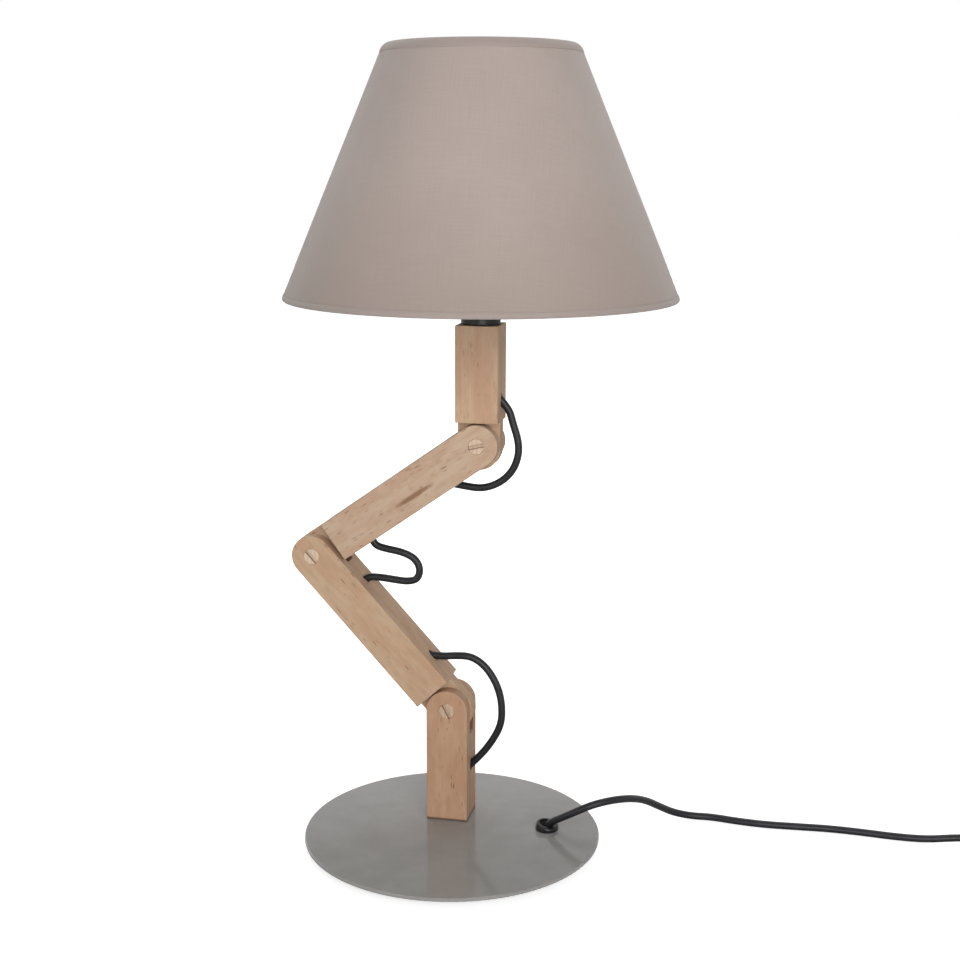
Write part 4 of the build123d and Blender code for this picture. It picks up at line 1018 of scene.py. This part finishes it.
# hook and loop tape with short fuzz
def tieMaterial(look):
    material, tree, shader = newMaterial("tieTape")
    where = local(tree)
    fuzz = noise(tree, where, 3.5, 5.0)
    hooks = add(tree, "TexVoronoi", {"Vector": where, "Scale": 1.4}).outputs["Distance"]
    setInputs(tree, shader, {
        "Base Color": ramp(tree, hooks, [(0.1, look["top"]), (0.6, look["bottom"])]),
        "Roughness": look["roughness"],
        "Sheen Weight": look["sheen"],
    })
    bump(tree, shader, plus(tree, fuzz, hooks), look["fuzzHeight"], 0.8)
    return material


finishNodes(tieMaterial(tieLook), "cord_tie")
print("materials ready")

studio = {
    "floor": 0.74,
    "floorSize": 6.0,
    "nearGlow": 0.68,
    "farGlow": 0.95,
    "glowFrom": 0.30,
    "glowTo": 1.10,
    "surround": 0.26,
    "mirroredLow": 1.15,
    "mirroredHigh": 0.45,
    "mirrorRise": (0.395, 0.426),
    "lights": [  # name, place, what it points at, size, power
        ("keyLight", (0.85, -2.1, 0.95), (0.0, 0.0, 0.35), 1.5, 42),
        ("fillLight", (-1.5, -2.0, 0.8), (0.0, 0.0, 0.35), 1.6, 6),
        ("topLight", (-0.1, 0.9, 2.1), (0.0, 0.0, 0.2), 1.8, 18),
        ("backLight", (-1.9, 1.6, 1.0), (0.0, 0.0, 0.35), 1.5, 11),
    ],
}


def makeLights():
    for name, spot, target, side, power in studio["lights"]:
        lamp = bpy.data.lights.new(name, "AREA")
        lamp.shape = "SQUARE"
        lamp.size = side
        lamp.energy = power
        thing = place(name, lamp)
        thing.location = spot
        turnTo(thing, Vector(target) - Vector(spot))


# pale paper floor that keeps the shadow and looks white to the camera
def makeFloor():
    reach = studio["floorSize"]
    corners = [(-reach, -reach, 0), (reach, -reach, 0), (reach, reach, 0), (-reach, reach, 0)]
    floor = meshObject("floor", corners, [(0, 1, 2, 3)], smooth=False)
    material, tree, shader = newMaterial("paleFloor")
    where = add(tree, "TexCoord").outputs["Object"]
    paper = noise(tree, where, 900.0, 2.0)
    paperTones = [(0.2, grey(studio["floor"])), (0.8, grey(studio["floor"] + 0.02))]
    setInputs(tree, shader, {
        "Base Color": ramp(tree, paper, paperTones),
        "Roughness": 0.9,
        "Specular IOR Level": 0.1,
    })
    away = add(tree, "VectorMath", {0: where}, operation="LENGTH").outputs["Value"]
    level = remap(tree, away, studio["nearGlow"], studio["farGlow"], studio["glowFrom"], studio["glowTo"])
    toCamera = times(tree, add(tree, "LightPath").outputs["Is Camera Ray"], level)
    glow = add(tree, "Emission", {"Color": (1, 1, 1, 1), "Strength": toCamera})
    both = add(tree, "AddShader", {0: shader.outputs[0], 1: glow.outputs[0]})
    tree.links.new(both.outputs[0], tree.nodes["Material Output"].inputs["Surface"])
    finish(floor, material)


# white to the camera, brighter low down in gloss, and soft everywhere else
def makeSurround():
    world = bpy.data.worlds.new("surround")
    world.use_nodes = True
    bpy.context.scene.world = world
    tree = world.node_tree
    white = (1, 1, 1, 1)
    soft = tree.nodes["Background"]
    setInputs(tree, soft, {"Color": white, "Strength": studio["surround"]})
    seen = add(tree, "Background", {"Color": white, "Strength": 1.0})
    rise = axes(tree, add(tree, "TexCoord").outputs["Generated"])[2]
    level = remap(tree, rise, studio["mirroredLow"], studio["mirroredHigh"], *studio["mirrorRise"])
    mirrored = add(tree, "Background", {"Color": white, "Strength": level})
    paths = add(tree, "LightPath")
    glossy = add(tree, "MixShader", {0: paths.outputs["Is Glossy Ray"], 1: soft.outputs[0],
                                     2: mirrored.outputs[0]})
    whole = add(tree, "MixShader", {0: paths.outputs["Is Camera Ray"], 1: glossy.outputs[0],
                                    2: seen.outputs[0]})
    tree.links.new(whole.outputs[0], tree.nodes["World Output"].inputs["Surface"])


makeLights()
makeFloor()
makeSurround()
bpy.context.scene.view_settings.view_transform = "Standard"
print("studio ready")

bpy.context.view_layer.update()
